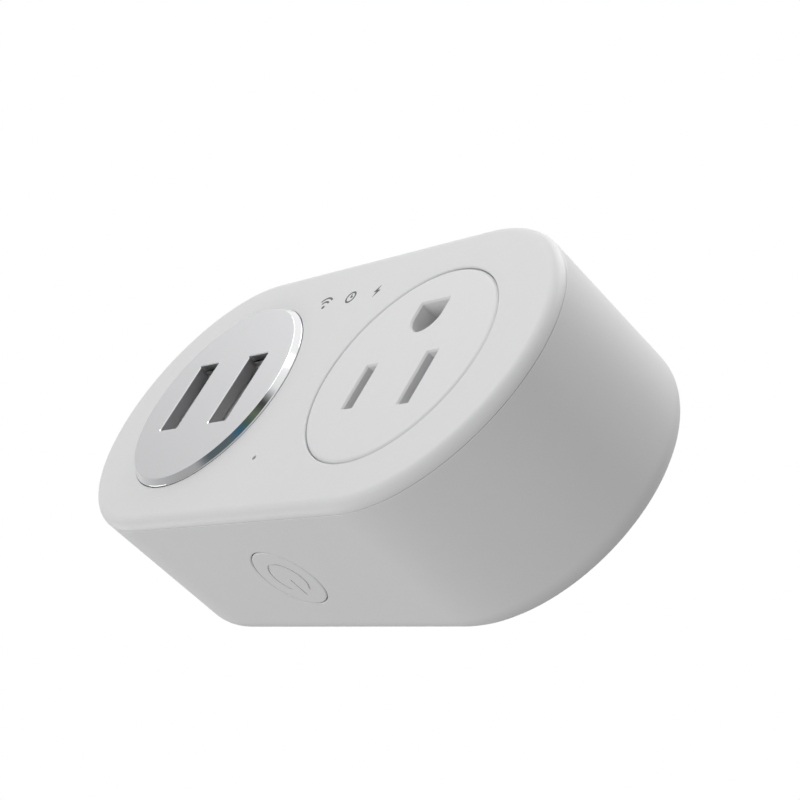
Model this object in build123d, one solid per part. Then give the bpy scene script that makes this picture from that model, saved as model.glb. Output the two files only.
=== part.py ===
"""Wi-Fi smart plug: one grounded mains socket and two USB charging ports in an oblong wall-hung case.

The case hangs on a wall outlet by its three pins. +Y points into the wall, +Z up, and the origin is the
middle of the flat back that meets the wall. The front is towards -Y. Sizes are in millimetres.
"""

from build123d import *
from math import atan2, degrees, radians, tan
import os

# Case. JOIN is how far joined solids run into each other, and PAST how far cuts run past a surface
LENGTH = 100.0
HEIGHT = 48.6
DEPTH = 29.0
WALL = 2.0
FLOOR = 2.2
COVER_DEPTH = 1.7
FRONT_ROUND = 1.6
BACK_ROUND = 4.0
SEAM = 0.06
RIM_THICKNESS = 1.2
RIM_DEPTH = 2.4
FIT_GAP = 0.1
JOIN = 0.1
PAST = 1.0

FRONT_Y = -DEPTH
SEAM_Y = FRONT_Y + COVER_DEPTH
COVER_BACK_Y = FRONT_Y + WALL
FLOOR_Y = -FLOOR

# Screws that hold the case together, driven from the back
SCREW_X = 40.5
SCREW_Z = 9.0
POST_RADIUS = 2.7
POST_END_Y = -8.0
SCREW_SHANK_RADIUS = 1.0
SCREW_SHANK_GAP = 0.3
SCREW_HEAD_RADIUS = 2.2
SCREW_HEAD_HEIGHT = 1.5
SCREW_HEAD_ROUND = 0.6
CROSS_LENGTH = 2.4
CROSS_WIDTH = 0.6
CROSS_DEPTH = 0.9
COUNTERBORE_RADIUS = 2.5
COUNTERBORE_DEPTH = 3.0
SCREW_LENGTH = 12.0

# Screws that hold the power board to its bosses
BOARD_SCREW_X = -28.0
BOARD_SCREW_Z = 18.0
BOARD_BOSS_RADIUS = 2.2
BOARD_SCREW_RADIUS = 0.8
BOARD_SCREW_HEAD_RADIUS = 1.8
BOARD_SCREW_HEAD_HEIGHT = 1.1

# Mains socket
SOCKET_X = 22.7
SOCKET_RADIUS = 17.0
SOCKET_GAP = 0.12
SOCKET_LEDGE_RADIUS = 15.8
SOCKET_LEDGE_DEPTH = 1.2
SOCKET_BACK_Y = -24.0
SOCKET_EDGE_ROUND = 0.7
SEAT_EDGE_ROUND = 0.25
PIN_SPACING = 12.7
BLADE_Z = -3.2
GROUND_Z = BLADE_Z + 11.9
SLOT_WIDTH = 2.2
LINE_SLOT = 7.5
NEUTRAL_SLOT = 8.8
GROUND_HOLE_RADIUS = 3.0
GROUND_HOLE_FLAT = 2.5
SLOT_LEAD_IN = 0.25
LINE_X = SOCKET_X - PIN_SPACING / 2
NEUTRAL_X = SOCKET_X + PIN_SPACING / 2

# Pins on the back, in the middle of the case. They are soldered through the power board
PIN_X = 0.0
LINE_PIN_X = PIN_X - PIN_SPACING / 2
NEUTRAL_PIN_X = PIN_X + PIN_SPACING / 2
BLADE_THICKNESS = 1.5
BLADE_WIDTH = 6.35
BLADE_REACH = 17.5
BLADE_TIP_CHAMFER = 0.45
BLADE_CORNER_CHAMFER = 0.7
BLADE_HOLE_RADIUS = 1.6
BLADE_HOLE_Y = 12.0
SHOULDER_WIDTH = 4.6
SHOULDER_THICKNESS = 1.2
SOLDER_GAP = 0.05
GROUND_PIN_RADIUS = 2.4
GROUND_PIN_REACH = 20.7
GROUND_TIP_ROUND = 2.0
GROUND_COLLAR_RADIUS = 2.8
GROUND_STEM_RADIUS = 2.0
GROUND_SHOULDER_HALF = 3.4

# Contact carrier behind the socket face, and the female contacts in its pockets
CARRIER_SIDE = 4.6
CARRIER_BACK_Y = -9.5
CARRIER_LOW_Z = -9.0
CARRIER_HIGH_Z = 15.0
CARRIER_ROUND = 1.5
POCKET_BACK_Y = -11.5
BLADE_POCKET = (5.2, 9.8)
GROUND_POCKET = (7.2, 7.2)
CLIP_SHEET = 0.6
CLIP_MOUTH_Y = -22.6
CLIP_PINCH_DEPTH = 3.4
CLIP_BEND_DEPTH = 4.0
CLIP_BASE_GAP = 0.3
CLIP_TAIL = (0.8, 4.0)
CLIP_TAIL_GAP = 0.05
BLADE_CLIP_MOUTH = 3.0
BLADE_CLIP_PINCH = 1.1
BLADE_CLIP_WIDTH = 6.4
GROUND_CLIP_MOUTH = 4.9
GROUND_CLIP_PINCH = 4.2
GROUND_CLIP_WIDTH = 5.0

# Flat conductors: two straps along the floor from the pins, and a lead from the relay
STRAP_FRONT_Y = -3.2
STRAP_HALF_WIDTH = 2.0
LOAD_Y = (-9.3, -8.6)
LOAD_LOW_Z = -6.6
LOAD_FOOT_X = (6.4, 7.4)
LOAD_FOOT_Z = (2.4, 5.0)

# USB ports
USB_X = -22.5
USB_RADIUS = 17.5
USB_PROUD = 1.0
USB_DISC_THICKNESS = 1.8
USB_BEVEL = 0.8
USB_PITCH = 13.9
PORT_WIDTH = 5.1
PORT_LENGTH = 12.5
PORT_CORNER = 0.5
PORT_SHEET = 0.3
PORT_CUT_LENGTH = 12.3
PORT_LIP = 0.4
PORT_LIP_DEPTH = 0.6
PORT_EDGE = 0.12
PORT_MOUTH_Y = -28.0
PORT_BACK_Y = -14.0
TONGUE_TIP_Y = -25.9
TONGUE_THICKNESS = 1.84
TONGUE_LENGTH = 11.1
TONGUE_OFFSET = 1.05
TONGUE_TIP_CHAMFER = 0.5
TONGUE_BLOCK_DEPTH = 3.0
CONTACT_WIDTH = 0.9
CONTACT_GROOVE_WIDTH = 1.0
CONTACT_GROOVE_DEPTH = 0.25
CONTACT_SHEET = 0.25
CONTACT_PROUD = 0.05
CONTACT_START = 1.2
CONTACT_HEIGHTS = (-3.5, -1.0, 1.0, 3.5)

# Button under the case
BUTTON_Y = -DEPTH / 2
BUTTON_RADIUS = 6.0
BUTTON_GAP = 0.15
BUTTON_EDGE_ROUND = 0.2
BUTTON_FLANGE_RADIUS = 7.0
BUTTON_FLANGE = 1.0
BUTTON_FLANGE_GAP = 0.05
BUTTON_STEM_RADIUS = 2.0
BUTTON_STEM = 0.4
ICON_RADIUS = 3.3
ICON_LINE = 0.3
ICON_DEPTH = 0.2
ICON_GAP_DEGREES = 38.0
ICON_BAR_SHARE = 1.1
ICON_BAR_RISE = 0.65
SWITCH_SIZE = 6.0
SWITCH_BACK_Z = -16.45
PLUNGER_RADIUS = 1.5
PLUNGER_LENGTH = 1.4
PLUNGER_GAP = 0.05
PLUNGER_PROUD = 0.8

# Status light
LIGHT_Z = -14.0
LIGHT_TIP_RADIUS = 0.4
LIGHT_TIP_Y = FRONT_Y + 0.7
LIGHT_STEP_Y = FRONT_Y + 1.2
LIGHT_STEM_RADIUS = 1.0
LIGHT_GAP = 0.05
LED_HEIGHT = 1.1

# Boards
BOARD_THICKNESS = 1.6
BOARD_FRONT_Y = -5.0
BOARD_RIGHT_X = 8.0
BOARD_GAP = 0.8
BOARD_HOLE_GAP = 0.3
BOARD_HOLE_RADIUS = 1.2
USB_BOARD_THICKNESS = 1.2
USB_BOARD_X = -23.5
USB_BOARD_SIZE = (27.0, 30.0)
USB_BOARD_ROUND = 2.0
BUTTON_BOARD_HALF = 5.5
BUTTON_BOARD_FRONT_Y = -21.0
BUTTON_BOARD_THICKNESS = 1.2

# Header pins between the power board and the USB board
HEADER_X = -35.0
HEADER_HEIGHTS = (-12.7, -10.16, -7.62)
HEADER_RADIUS = 0.4
HEADER_HOLE_GAP = 0.05

# Radio board, lying on solder pads
RADIO_X = -38.6
RADIO_SIZE = (9.6, 11.6)
RADIO_BOARD_THICKNESS = 1.0
PAD_HEIGHT = 0.4
PAD_LENGTH = 1.2
PAD_WIDTH = 1.0
PAD_COLUMNS = (-43.2, -35.2)
PAD_ROWS = (-4.4, -2.2, 0.0, 2.2, 4.4)
SHIELD_X = -37.4
SHIELD_SIZE = (6.8, 10.6)
SHIELD_HEIGHT = 2.0
SHIELD_ROUND = 0.6

# Relay
RELAY_LOW = (-9.5, 1.5)
RELAY_HIGH = (6.0, 20.5)
RELAY_FRONT_Y = -20.3
RELAY_BASE = 1.4
RELAY_WALL = 0.8
RELAY_CORNER = 0.8
RELAY_FRAME_Y = BOARD_FRONT_Y - RELAY_BASE
RELAY_X = (RELAY_LOW[0] + RELAY_HIGH[0]) / 2
COIL_Z = 8.5
COIL_RADIUS = 4.6
COIL_FRONT_Y = -15.4
BOBBIN_FLANGE = 0.7
BOBBIN_RIM = 0.8
POLE_RADIUS = 2.0
POLE_TIP_Y = -16.8
YOKE_HALF_WIDTH = 4.0
YOKE_LOW_Z = 6.0
YOKE_Z = 14.6
YOKE_THICKNESS = 1.2
YOKE_GAP = 0.4
ARMATURE_HALF_WIDTH = 4.2
ARMATURE_LOW_Z = 4.0
ARMATURE_Y = -17.3
ARMATURE_THICKNESS = 0.9
CONTACT_BLADE = 0.3
CONTACT_BLADE_HALF = 1.5
CONTACT_BLADE_LOW_Z = 8.0
CONTACT_BLADE_BACK_Y = -8.6
CONTACT_BEND_GAP = 0.8
CONTACT_Y = -9.8
CONTACT_RADIUS = 1.0
CONTACT_HEIGHT = 0.4
CONTACT_OPENING = 0.45
TERMINAL_FRONT_Y = -11.5
TERMINAL_SHEET = 0.5

# Rounded ends of the capacitors and of the fuse resistor
CAN_ROUND = 0.4
FUSE_RADIUS = 1.7
FUSE_ROUND = 0.5

# Transformer, as X and Z spans
CORE_X = (-9.0, 5.0)
CORE_Z = (-9.8, -2.0)
CORE_FRONT_Y = -18.0
CORE_BACK_Y = BOARD_FRONT_Y - 2.0
CORE_LIMB = 1.8
CORE_SIDE = 2.6
WINDING_Z = (-12.2, 0.4)
WINDING_GAP = 0.1
WINDING_ROUND = 1.5
BOBBIN_FOOT_X = (-8.0, 4.0)


def front_plane(y):
    """A plane seen from the front, with X to the right and Z up, at a depth y."""
    return Plane.XZ.offset(-y)


def slab(outline, front, back):
    """An outline in X and Z made solid between two depths."""
    return extrude(front_plane(back) * outline, amount=back - front)


def stadium(inset):
    """The case outline, moved inwards by an inset."""
    return SlotOverall(LENGTH - 2 * inset, HEIGHT - 2 * inset)


def box(x, y, z):
    """A block between the low and high values given for each axis."""
    block = Box(x[1] - x[0], y[1] - y[0], z[1] - z[0])
    return Pos(sum(x) / 2, sum(y) / 2, sum(z) / 2) * block


def rod(x, z, radius, front, back):
    """A round bar along Y."""
    return slab(Pos(x, z) * Circle(radius), front, back)


def rod_along(axis, start, length, radius):
    """A round bar from a start point along X or Z."""
    turn = Rot(0, 90, 0) if axis == "X" else Rot(0, 0, 0)
    centred = Cylinder(radius, length, align=(Align.CENTER, Align.CENTER, Align.MIN))
    return Pos(*start) * turn * centred


def screw_places():
    """The middle of each case screw, in X and Z."""
    return [(sx * SCREW_X, sz * SCREW_Z) for sx in (-1, 1) for sz in (-1, 1)]


def edges_at(shape, y):
    """The edges of a shape that lie wholly at a depth y."""
    return shape.edges().filter_by_position(Axis.Y, y - 0.001, y + 0.001)


def port_centres():
    """The X of each USB port, left to right."""
    return [USB_X - USB_PITCH / 2, USB_X + USB_PITCH / 2]


def port_outline(grow=0.0):
    """A USB port's rounded mouth, standing upright."""
    return RectangleRounded(PORT_WIDTH + 2 * grow, PORT_LENGTH + 2 * grow, PORT_CORNER + grow)


def ground_outline(grow=0.0):
    """The socket's ground hole: round towards the blade slots, and flat away from them."""
    radius = GROUND_HOLE_RADIUS + grow
    rise = GROUND_HOLE_FLAT + grow
    return Circle(radius) + Pos(0, rise / 2) * Rectangle(2 * radius, rise) - Pos(
        0, rise + radius
    ) * Rectangle(4 * radius, 2 * radius)


def socket_holes(grow=0.0):
    """The two blade slots and the ground hole, in the socket's own plane."""
    width = SLOT_WIDTH + 2 * grow
    return (
        Pos(LINE_X, BLADE_Z) * Rectangle(width, LINE_SLOT + 2 * grow)
        + Pos(NEUTRAL_X, BLADE_Z) * Rectangle(width, NEUTRAL_SLOT + 2 * grow)
        + Pos(SOCKET_X, GROUND_Z) * ground_outline(grow)
    )


def blade_block(x, front, back, gap=0.0):
    """A mains blade's plain section between two depths, with a gap round it."""
    half = BLADE_THICKNESS / 2 + gap
    edge = BLADE_WIDTH / 2 + gap
    return box((x - half, x + half), (front, back), (BLADE_Z - edge, BLADE_Z + edge))


def make_rear_housing():
    """The deep tub: side walls and back in one moulding, open towards the front."""
    shell = slab(stadium(0), SEAM_Y + SEAM, 0)
    shell = fillet(edges_at(shell, 0), BACK_ROUND)
    cavity = slab(stadium(WALL), SEAM_Y - PAST, FLOOR_Y)
    cavity = fillet(edges_at(cavity, FLOOR_Y), BACK_ROUND - WALL)
    shell -= cavity
    for x, z in screw_places():
        shell += rod(x, z, POST_RADIUS, POST_END_Y, FLOOR_Y + JOIN)
        shell -= rod(x, z, SCREW_SHANK_RADIUS + SCREW_SHANK_GAP, POST_END_Y - PAST, PAST)
        shell -= rod(x, z, COUNTERBORE_RADIUS, -COUNTERBORE_DEPTH, PAST)
    for x, z in board_screw_places():
        shell += rod(x, z, BOARD_BOSS_RADIUS, BOARD_FRONT_Y + BOARD_THICKNESS, FLOOR_Y + JOIN)
        shell -= rod(x, z, BOARD_SCREW_RADIUS, BOARD_FRONT_Y, FLOOR_Y)
    for x in (LINE_PIN_X, NEUTRAL_PIN_X):
        shell -= blade_block(x, FLOOR_Y - PAST, PAST)
    shell -= rod(PIN_X, GROUND_Z, GROUND_COLLAR_RADIUS, FLOOR_Y - PAST, PAST)
    below = (0, BUTTON_Y, -HEIGHT / 2 - PAST)
    return shell - rod_along("Z", below, WALL + 2 * PAST, BUTTON_RADIUS + BUTTON_GAP)


def ring_at(shape, y, radius):
    """The round edge at a depth y whose radius is nearest to the one given."""
    rings = edges_at(shape, y).filter_by(GeomType.CIRCLE)
    return min(rings, key=lambda ring: abs(ring.radius - radius))


def make_front_cover():
    """The face with its rounded edge, the rim that plugs into the tub, and the four screw posts."""
    cover = slab(stadium(0), FRONT_Y, SEAM_Y)
    cover = fillet(edges_at(cover, FRONT_Y), FRONT_ROUND)
    rim_inset = WALL + FIT_GAP
    cover += slab(stadium(rim_inset), SEAM_Y - JOIN, SEAM_Y + RIM_DEPTH)
    cover -= slab(stadium(rim_inset + RIM_THICKNESS), COVER_BACK_Y, 0)
    for x, z in screw_places():
        cover += rod(x, z, POST_RADIUS, COVER_BACK_Y - JOIN, POST_END_Y)
        cover -= rod(x, z, SCREW_SHANK_RADIUS, POST_END_Y - SCREW_LENGTH, 0)
    cover -= rod(SOCKET_X, 0, SOCKET_RADIUS, FRONT_Y - PAST, FRONT_Y + SOCKET_LEDGE_DEPTH)
    cover -= rod(SOCKET_X, 0, SOCKET_LEDGE_RADIUS, FRONT_Y, 0)
    recess_y = FRONT_Y - USB_PROUD + USB_DISC_THICKNESS
    cover -= rod(USB_X, 0, USB_RADIUS + FIT_GAP, FRONT_Y - PAST, recess_y)
    for x in port_centres():
        cover -= slab(Pos(x, 0) * port_outline(PORT_SHEET + FIT_GAP), FRONT_Y, 0)
    cover -= rod(0, LIGHT_Z, LIGHT_TIP_RADIUS, FRONT_Y - PAST, LIGHT_STEP_Y)
    cover -= rod(0, LIGHT_Z, LIGHT_STEM_RADIUS + LIGHT_GAP, LIGHT_STEP_Y, 0)
    return fillet(ring_at(cover, FRONT_Y, SOCKET_RADIUS), SEAT_EDGE_ROUND)


def make_socket_face():
    """The round face of the mains socket, flush with the case, with its slots and rear spigot."""
    radius = SOCKET_RADIUS - SOCKET_GAP
    face = rod(SOCKET_X, 0, radius, FRONT_Y, FRONT_Y + SOCKET_LEDGE_DEPTH)
    face = fillet(edges_at(face, FRONT_Y), SOCKET_EDGE_ROUND)
    spigot_y = FRONT_Y + SOCKET_LEDGE_DEPTH - JOIN
    face += rod(SOCKET_X, 0, SOCKET_LEDGE_RADIUS - FIT_GAP, spigot_y, SOCKET_BACK_Y)
    face -= slab(socket_holes(), FRONT_Y - PAST, 0)
    lead_plane = front_plane(FRONT_Y + SLOT_LEAD_IN)
    return face - extrude(lead_plane * socket_holes(), amount=SLOT_LEAD_IN, taper=-45)


def pocket(x, z, size):
    """A contact's pocket in the carrier, with the slot behind it that the contact's tail goes through."""
    half_x, half_z = size[0] / 2, size[1] / 2
    tail_x, tail_z = CLIP_TAIL[0] / 2 + CLIP_TAIL_GAP, CLIP_TAIL[1] / 2 + CLIP_TAIL_GAP
    room = box((x - half_x, x + half_x), (SOCKET_BACK_Y - PAST, POCKET_BACK_Y), (z - half_z, z + half_z))
    slot_y = (POCKET_BACK_Y - JOIN, CARRIER_BACK_Y + PAST)
    return room + box((x - tail_x, x + tail_x), slot_y, (z - tail_z, z + tail_z))


def make_contact_carrier():
    """The insulating block behind the socket face that holds the three female contacts."""
    sides = (LINE_X - CARRIER_SIDE, NEUTRAL_X + CARRIER_SIDE)
    block = box(sides, (SOCKET_BACK_Y, CARRIER_BACK_Y), (CARRIER_LOW_Z, CARRIER_HIGH_Z))
    block = fillet(block.edges().filter_by(Axis.Y), CARRIER_ROUND)
    for x in (LINE_X, NEUTRAL_X):
        block -= pocket(x, BLADE_Z, BLADE_POCKET)
    return block - pocket(SOCKET_X, GROUND_Z, GROUND_POCKET)


def make_clip(x, z, mouth, pinch, width, tail_y):
    """A female contact: two spring leaves from a folded base, pinched near a flared mouth."""
    base = POCKET_BACK_Y
    side = x + mouth / 2 + CLIP_BASE_GAP
    bend_y = base - CLIP_BEND_DEPTH
    pinch_y = CLIP_MOUTH_Y + CLIP_PINCH_DEPTH
    outline = Polyline(
        (x, base - CLIP_SHEET),
        (side, base - CLIP_SHEET),
        (side, bend_y),
        (x + pinch / 2, pinch_y),
        (x + mouth / 2, CLIP_MOUTH_Y),
        (x + mouth / 2 + CLIP_SHEET, CLIP_MOUTH_Y),
        (x + pinch / 2 + CLIP_SHEET, pinch_y),
        (side + CLIP_SHEET, bend_y),
        (side + CLIP_SHEET, base),
        (x, base),
        close=True,
    )
    leaf = extrude(Pos(0, 0, z - width / 2) * make_face(outline), amount=width)
    leaf += leaf.mirror(Plane.YZ.offset(x))
    tail_x, tail_z = CLIP_TAIL[0] / 2, CLIP_TAIL[1] / 2
    return leaf + box((x - tail_x, x + tail_x), (base - JOIN, tail_y), (z - tail_z, z + tail_z))


def make_clips():
    """The three female contacts, each reaching back to its conductor."""
    blade_clip = (BLADE_CLIP_MOUTH, BLADE_CLIP_PINCH, BLADE_CLIP_WIDTH)
    ground_clip = (GROUND_CLIP_MOUTH, GROUND_CLIP_PINCH, GROUND_CLIP_WIDTH)
    return {
        "line_contact": make_clip(LINE_X, BLADE_Z, *blade_clip, LOAD_Y[0]),
        "neutral_contact": make_clip(NEUTRAL_X, BLADE_Z, *blade_clip, STRAP_FRONT_Y),
        "ground_contact": make_clip(SOCKET_X, GROUND_Z, *ground_clip, STRAP_FRONT_Y),
    }


def make_blade(x):
    """A flat mains blade: bevelled tip, locking hole, and a shoulder between the floor and the board."""
    half = BLADE_THICKNESS / 2
    edge = BLADE_WIDTH / 2
    blade = blade_block(x, BOARD_FRONT_Y, BLADE_REACH)
    blade = chamfer(edges_at(blade, BLADE_REACH).filter_by(Axis.Z), BLADE_TIP_CHAMFER)
    blade = chamfer(edges_at(blade, BLADE_REACH).filter_by(Axis.X), BLADE_CORNER_CHAMFER)
    hole_start = (x - half - PAST, BLADE_HOLE_Y, BLADE_Z)
    blade -= rod_along("X", hole_start, BLADE_THICKNESS + 2 * PAST, BLADE_HOLE_RADIUS)
    shoulder_y = (FLOOR_Y - SHOULDER_THICKNESS, FLOOR_Y)
    shoulder = SHOULDER_WIDTH / 2
    return blade + box((x - shoulder, x + shoulder), shoulder_y, (BLADE_Z - edge, BLADE_Z + edge))


def make_ground_pin():
    """The round ground pin: domed tip, a collar held in the floor, a square shoulder and a stem."""
    shoulder_y = FLOOR_Y - SHOULDER_THICKNESS
    half = GROUND_SHOULDER_HALF
    pin = rod(PIN_X, GROUND_Z, GROUND_PIN_RADIUS, -JOIN, GROUND_PIN_REACH)
    pin = fillet(edges_at(pin, GROUND_PIN_REACH), GROUND_TIP_ROUND)
    pin += rod(PIN_X, GROUND_Z, GROUND_COLLAR_RADIUS, FLOOR_Y - JOIN, 0)
    pin += box((PIN_X - half, PIN_X + half), (shoulder_y, FLOOR_Y), (GROUND_Z - half, GROUND_Z + half))
    return pin + rod(PIN_X, GROUND_Z, GROUND_STEM_RADIUS, BOARD_FRONT_Y, shoulder_y + JOIN)


def strap(start_x, end_x, z):
    """A flat strap along the floor, between two values of X."""
    return box((start_x, end_x), (STRAP_FRONT_Y, FLOOR_Y), (z - STRAP_HALF_WIDTH, z + STRAP_HALF_WIDTH))


def make_conductors():
    """The straps from two of the pins to their contacts, and the relay's lead to the line contact."""
    line_x = (LINE_X - STRAP_HALF_WIDTH, LINE_X + STRAP_HALF_WIDTH)
    upright = box(line_x, LOAD_Y, (LOAD_LOW_Z, LOAD_FOOT_Z[1]))
    run = box((LOAD_FOOT_X[0], LINE_X), LOAD_Y, LOAD_FOOT_Z)
    foot = box(LOAD_FOOT_X, (LOAD_Y[1] - JOIN, BOARD_FRONT_Y), LOAD_FOOT_Z)
    neutral_start = NEUTRAL_PIN_X + SHOULDER_WIDTH / 2
    return {
        "neutral_strap": strap(neutral_start, NEUTRAL_X + STRAP_HALF_WIDTH, BLADE_Z),
        "ground_strap": strap(PIN_X + GROUND_SHOULDER_HALF, SOCKET_X + STRAP_HALF_WIDTH, GROUND_Z),
        "load_lead": upright + run + foot,
    }


def make_usb_disc():
    """The metal trim disc round the two USB ports: flat front, polished bevel, lipped port cut-outs."""
    front = FRONT_Y - USB_PROUD
    disc = rod(USB_X, 0, USB_RADIUS, front, front + USB_DISC_THICKNESS)
    disc = chamfer(edges_at(disc, front), USB_BEVEL)
    lip_slope = degrees(atan2(PORT_LIP, PORT_LIP_DEPTH))
    lip = Rectangle(PORT_WIDTH - 2 * PORT_LIP, PORT_CUT_LENGTH)
    edge = Rectangle(PORT_WIDTH, PORT_CUT_LENGTH)
    for x in port_centres():
        lip_plane = front_plane(front + PORT_LIP_DEPTH) * Pos(x, 0)
        edge_plane = front_plane(front + PORT_EDGE) * Pos(x, 0)
        disc -= slab(Pos(x, 0) * edge, front - PAST, 0)
        disc -= extrude(lip_plane * lip, amount=PORT_LIP_DEPTH, taper=-lip_slope)
        disc -= extrude(edge_plane * edge, amount=PORT_EDGE, taper=-45)
    return disc


def make_usb_shell(x):
    """The folded sheet-metal shell of one USB port."""
    outer = slab(Pos(x, 0) * port_outline(PORT_SHEET), PORT_MOUTH_Y, PORT_BACK_Y)
    return outer - slab(Pos(x, 0) * port_outline(), PORT_MOUTH_Y - PAST, PORT_BACK_Y - PORT_SHEET)


def tongue_face_x(x):
    """The X of the tongue's contact side."""
    return x + TONGUE_OFFSET - TONGUE_THICKNESS / 2


def make_usb_tongue(x):
    """The moulded tongue and rear block of one USB port, grooved for its contacts."""
    low = tongue_face_x(x)
    groove_x = low + CONTACT_GROOVE_DEPTH
    rear_y = PORT_BACK_Y - PORT_SHEET
    block_y = rear_y - TONGUE_BLOCK_DEPTH
    half = TONGUE_LENGTH / 2
    tongue = box((low, low + TONGUE_THICKNESS), (TONGUE_TIP_Y, rear_y), (-half, half))
    tongue = chamfer(edges_at(tongue, TONGUE_TIP_Y).filter_by(Axis.Z), TONGUE_TIP_CHAMFER)
    tongue += slab(Pos(x, 0) * port_outline(-CONTACT_PROUD), block_y, rear_y)
    for z in CONTACT_HEIGHTS:
        groove_z = (z - CONTACT_GROOVE_WIDTH / 2, z + CONTACT_GROOVE_WIDTH / 2)
        tongue -= box((low - JOIN, groove_x), (TONGUE_TIP_Y + CONTACT_START, rear_y), groove_z)
        tongue -= box((x - PORT_WIDTH, groove_x), (block_y - PAST, rear_y), groove_z)
    return tongue


def make_usb_contacts(x):
    """The four plated contact strips of one USB port."""
    low = tongue_face_x(x) - CONTACT_PROUD
    strip_x = (low, low + CONTACT_SHEET)
    strip_y = (TONGUE_TIP_Y + CONTACT_START + CONTACT_PROUD, PORT_BACK_Y - PORT_SHEET)
    half = CONTACT_WIDTH / 2
    return Compound(children=[box(strip_x, strip_y, (z - half, z + half)) for z in CONTACT_HEIGHTS])


def button_flange_z():
    """The Z of the button flange's outer side, just inside the case."""
    return -HEIGHT / 2 + WALL + BUTTON_FLANGE_GAP


def plunger_z():
    """The Z of the button stem's end, where the switch plunger begins."""
    return button_flange_z() + BUTTON_FLANGE + BUTTON_STEM


def make_power_button():
    """The round button cap: engraved power mark outside, retaining flange and stem inside."""
    low = -HEIGHT / 2
    flange = (0, BUTTON_Y, button_flange_z())
    cap = rod_along("Z", (0, BUTTON_Y, low), WALL + BUTTON_FLANGE_GAP + JOIN, BUTTON_RADIUS)
    cap = fillet(cap.edges().group_by(Axis.Z)[0], BUTTON_EDGE_ROUND)
    cap += rod_along("Z", flange, BUTTON_FLANGE, BUTTON_FLANGE_RADIUS)
    cap += rod_along("Z", flange, BUTTON_FLANGE + BUTTON_STEM, BUTTON_STEM_RADIUS)
    ring = Circle(ICON_RADIUS + ICON_LINE / 2) - Circle(ICON_RADIUS - ICON_LINE / 2)
    reach = 2 * ICON_RADIUS
    spread = reach * tan(radians(ICON_GAP_DEGREES))
    gap = make_face(Polyline((0, 0), (spread, reach), (-spread, reach), close=True))
    bar = Pos(0, ICON_RADIUS * ICON_BAR_RISE) * Rectangle(ICON_LINE, ICON_RADIUS * ICON_BAR_SHARE)
    return cap - extrude(Pos(0, BUTTON_Y, low) * (ring - gap + bar), amount=ICON_DEPTH)


def make_light_pipe():
    """The clear rod that carries the status light to a pinhole in the face, its tip set back in the hole."""
    step_y = LIGHT_STEP_Y + LIGHT_GAP
    tip = rod(0, LIGHT_Z, LIGHT_TIP_RADIUS - LIGHT_GAP, LIGHT_TIP_Y, step_y)
    return tip + rod(0, LIGHT_Z, LIGHT_STEM_RADIUS, step_y, BOARD_FRONT_Y - LED_HEIGHT - LIGHT_GAP)


def board_screw_places():
    """The middle of each board screw, in X and Z."""
    return [(BOARD_SCREW_X, BOARD_SCREW_Z), (BOARD_SCREW_X, -BOARD_SCREW_Z)]


def make_main_board():
    """The power board, rounded to the case's left end, with slots for the pins."""
    inset = WALL + BOARD_GAP
    outline = stadium(inset) - Pos(BOARD_RIGHT_X + LENGTH, 0) * Rectangle(2 * LENGTH, LENGTH)
    board = slab(outline, BOARD_FRONT_Y, BOARD_FRONT_Y + BOARD_THICKNESS)
    for x, z in screw_places():
        board -= rod(x, z, POST_RADIUS + BOARD_HOLE_GAP, BOARD_FRONT_Y - PAST, 0)
    for x, z in board_screw_places():
        board -= rod(x, z, BOARD_HOLE_RADIUS, BOARD_FRONT_Y - PAST, 0)
    for x in (LINE_PIN_X, NEUTRAL_PIN_X):
        board -= blade_block(x, BOARD_FRONT_Y - PAST, 0, SOLDER_GAP)
    return board - rod(PIN_X, GROUND_Z, GROUND_STEM_RADIUS + SOLDER_GAP, BOARD_FRONT_Y - PAST, 0)


def on_board(x, z, height):
    """A block component standing on the power board."""
    return box(x, (BOARD_FRONT_Y - height, BOARD_FRONT_Y), z)


def lying_can(x, z, radius, length):
    """A capacitor lying along X on the power board."""
    can = rod_along("X", (x, BOARD_FRONT_Y - radius, z), length, radius)
    return fillet(can.edges().filter_by(GeomType.CIRCLE), CAN_ROUND)


def make_relay_case():
    """The relay's moulded dust cover."""
    x = (RELAY_LOW[0], RELAY_HIGH[0])
    z = (RELAY_LOW[1], RELAY_HIGH[1])
    outer = box(x, (RELAY_FRONT_Y, RELAY_FRAME_Y), z)
    outer = fillet(outer.edges().filter_by(Axis.Y), RELAY_CORNER)
    inner = box(
        (x[0] + RELAY_WALL, x[1] - RELAY_WALL),
        (RELAY_FRONT_Y + RELAY_WALL, RELAY_FRAME_Y),
        (z[0] + RELAY_WALL, z[1] - RELAY_WALL),
    )
    return outer - inner


def make_relay_base():
    """The relay's moulded foot."""
    x = (RELAY_LOW[0], RELAY_HIGH[0])
    z = (RELAY_LOW[1], RELAY_HIGH[1])
    return box(x, (RELAY_FRAME_Y, BOARD_FRONT_Y), z)


def make_relay_coil():
    """The relay's bobbin with its winding, bored for the pole."""
    back = RELAY_FRAME_Y - YOKE_THICKNESS
    coil = rod(RELAY_X, COIL_Z, COIL_RADIUS, COIL_FRONT_Y, back)
    for y in (back - BOBBIN_FLANGE, COIL_FRONT_Y - BOBBIN_FLANGE):
        coil += rod(RELAY_X, COIL_Z, COIL_RADIUS + BOBBIN_RIM, y, y + BOBBIN_FLANGE)
    return coil - rod(RELAY_X, COIL_Z, POLE_RADIUS, RELAY_FRONT_Y, 0)


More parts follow.
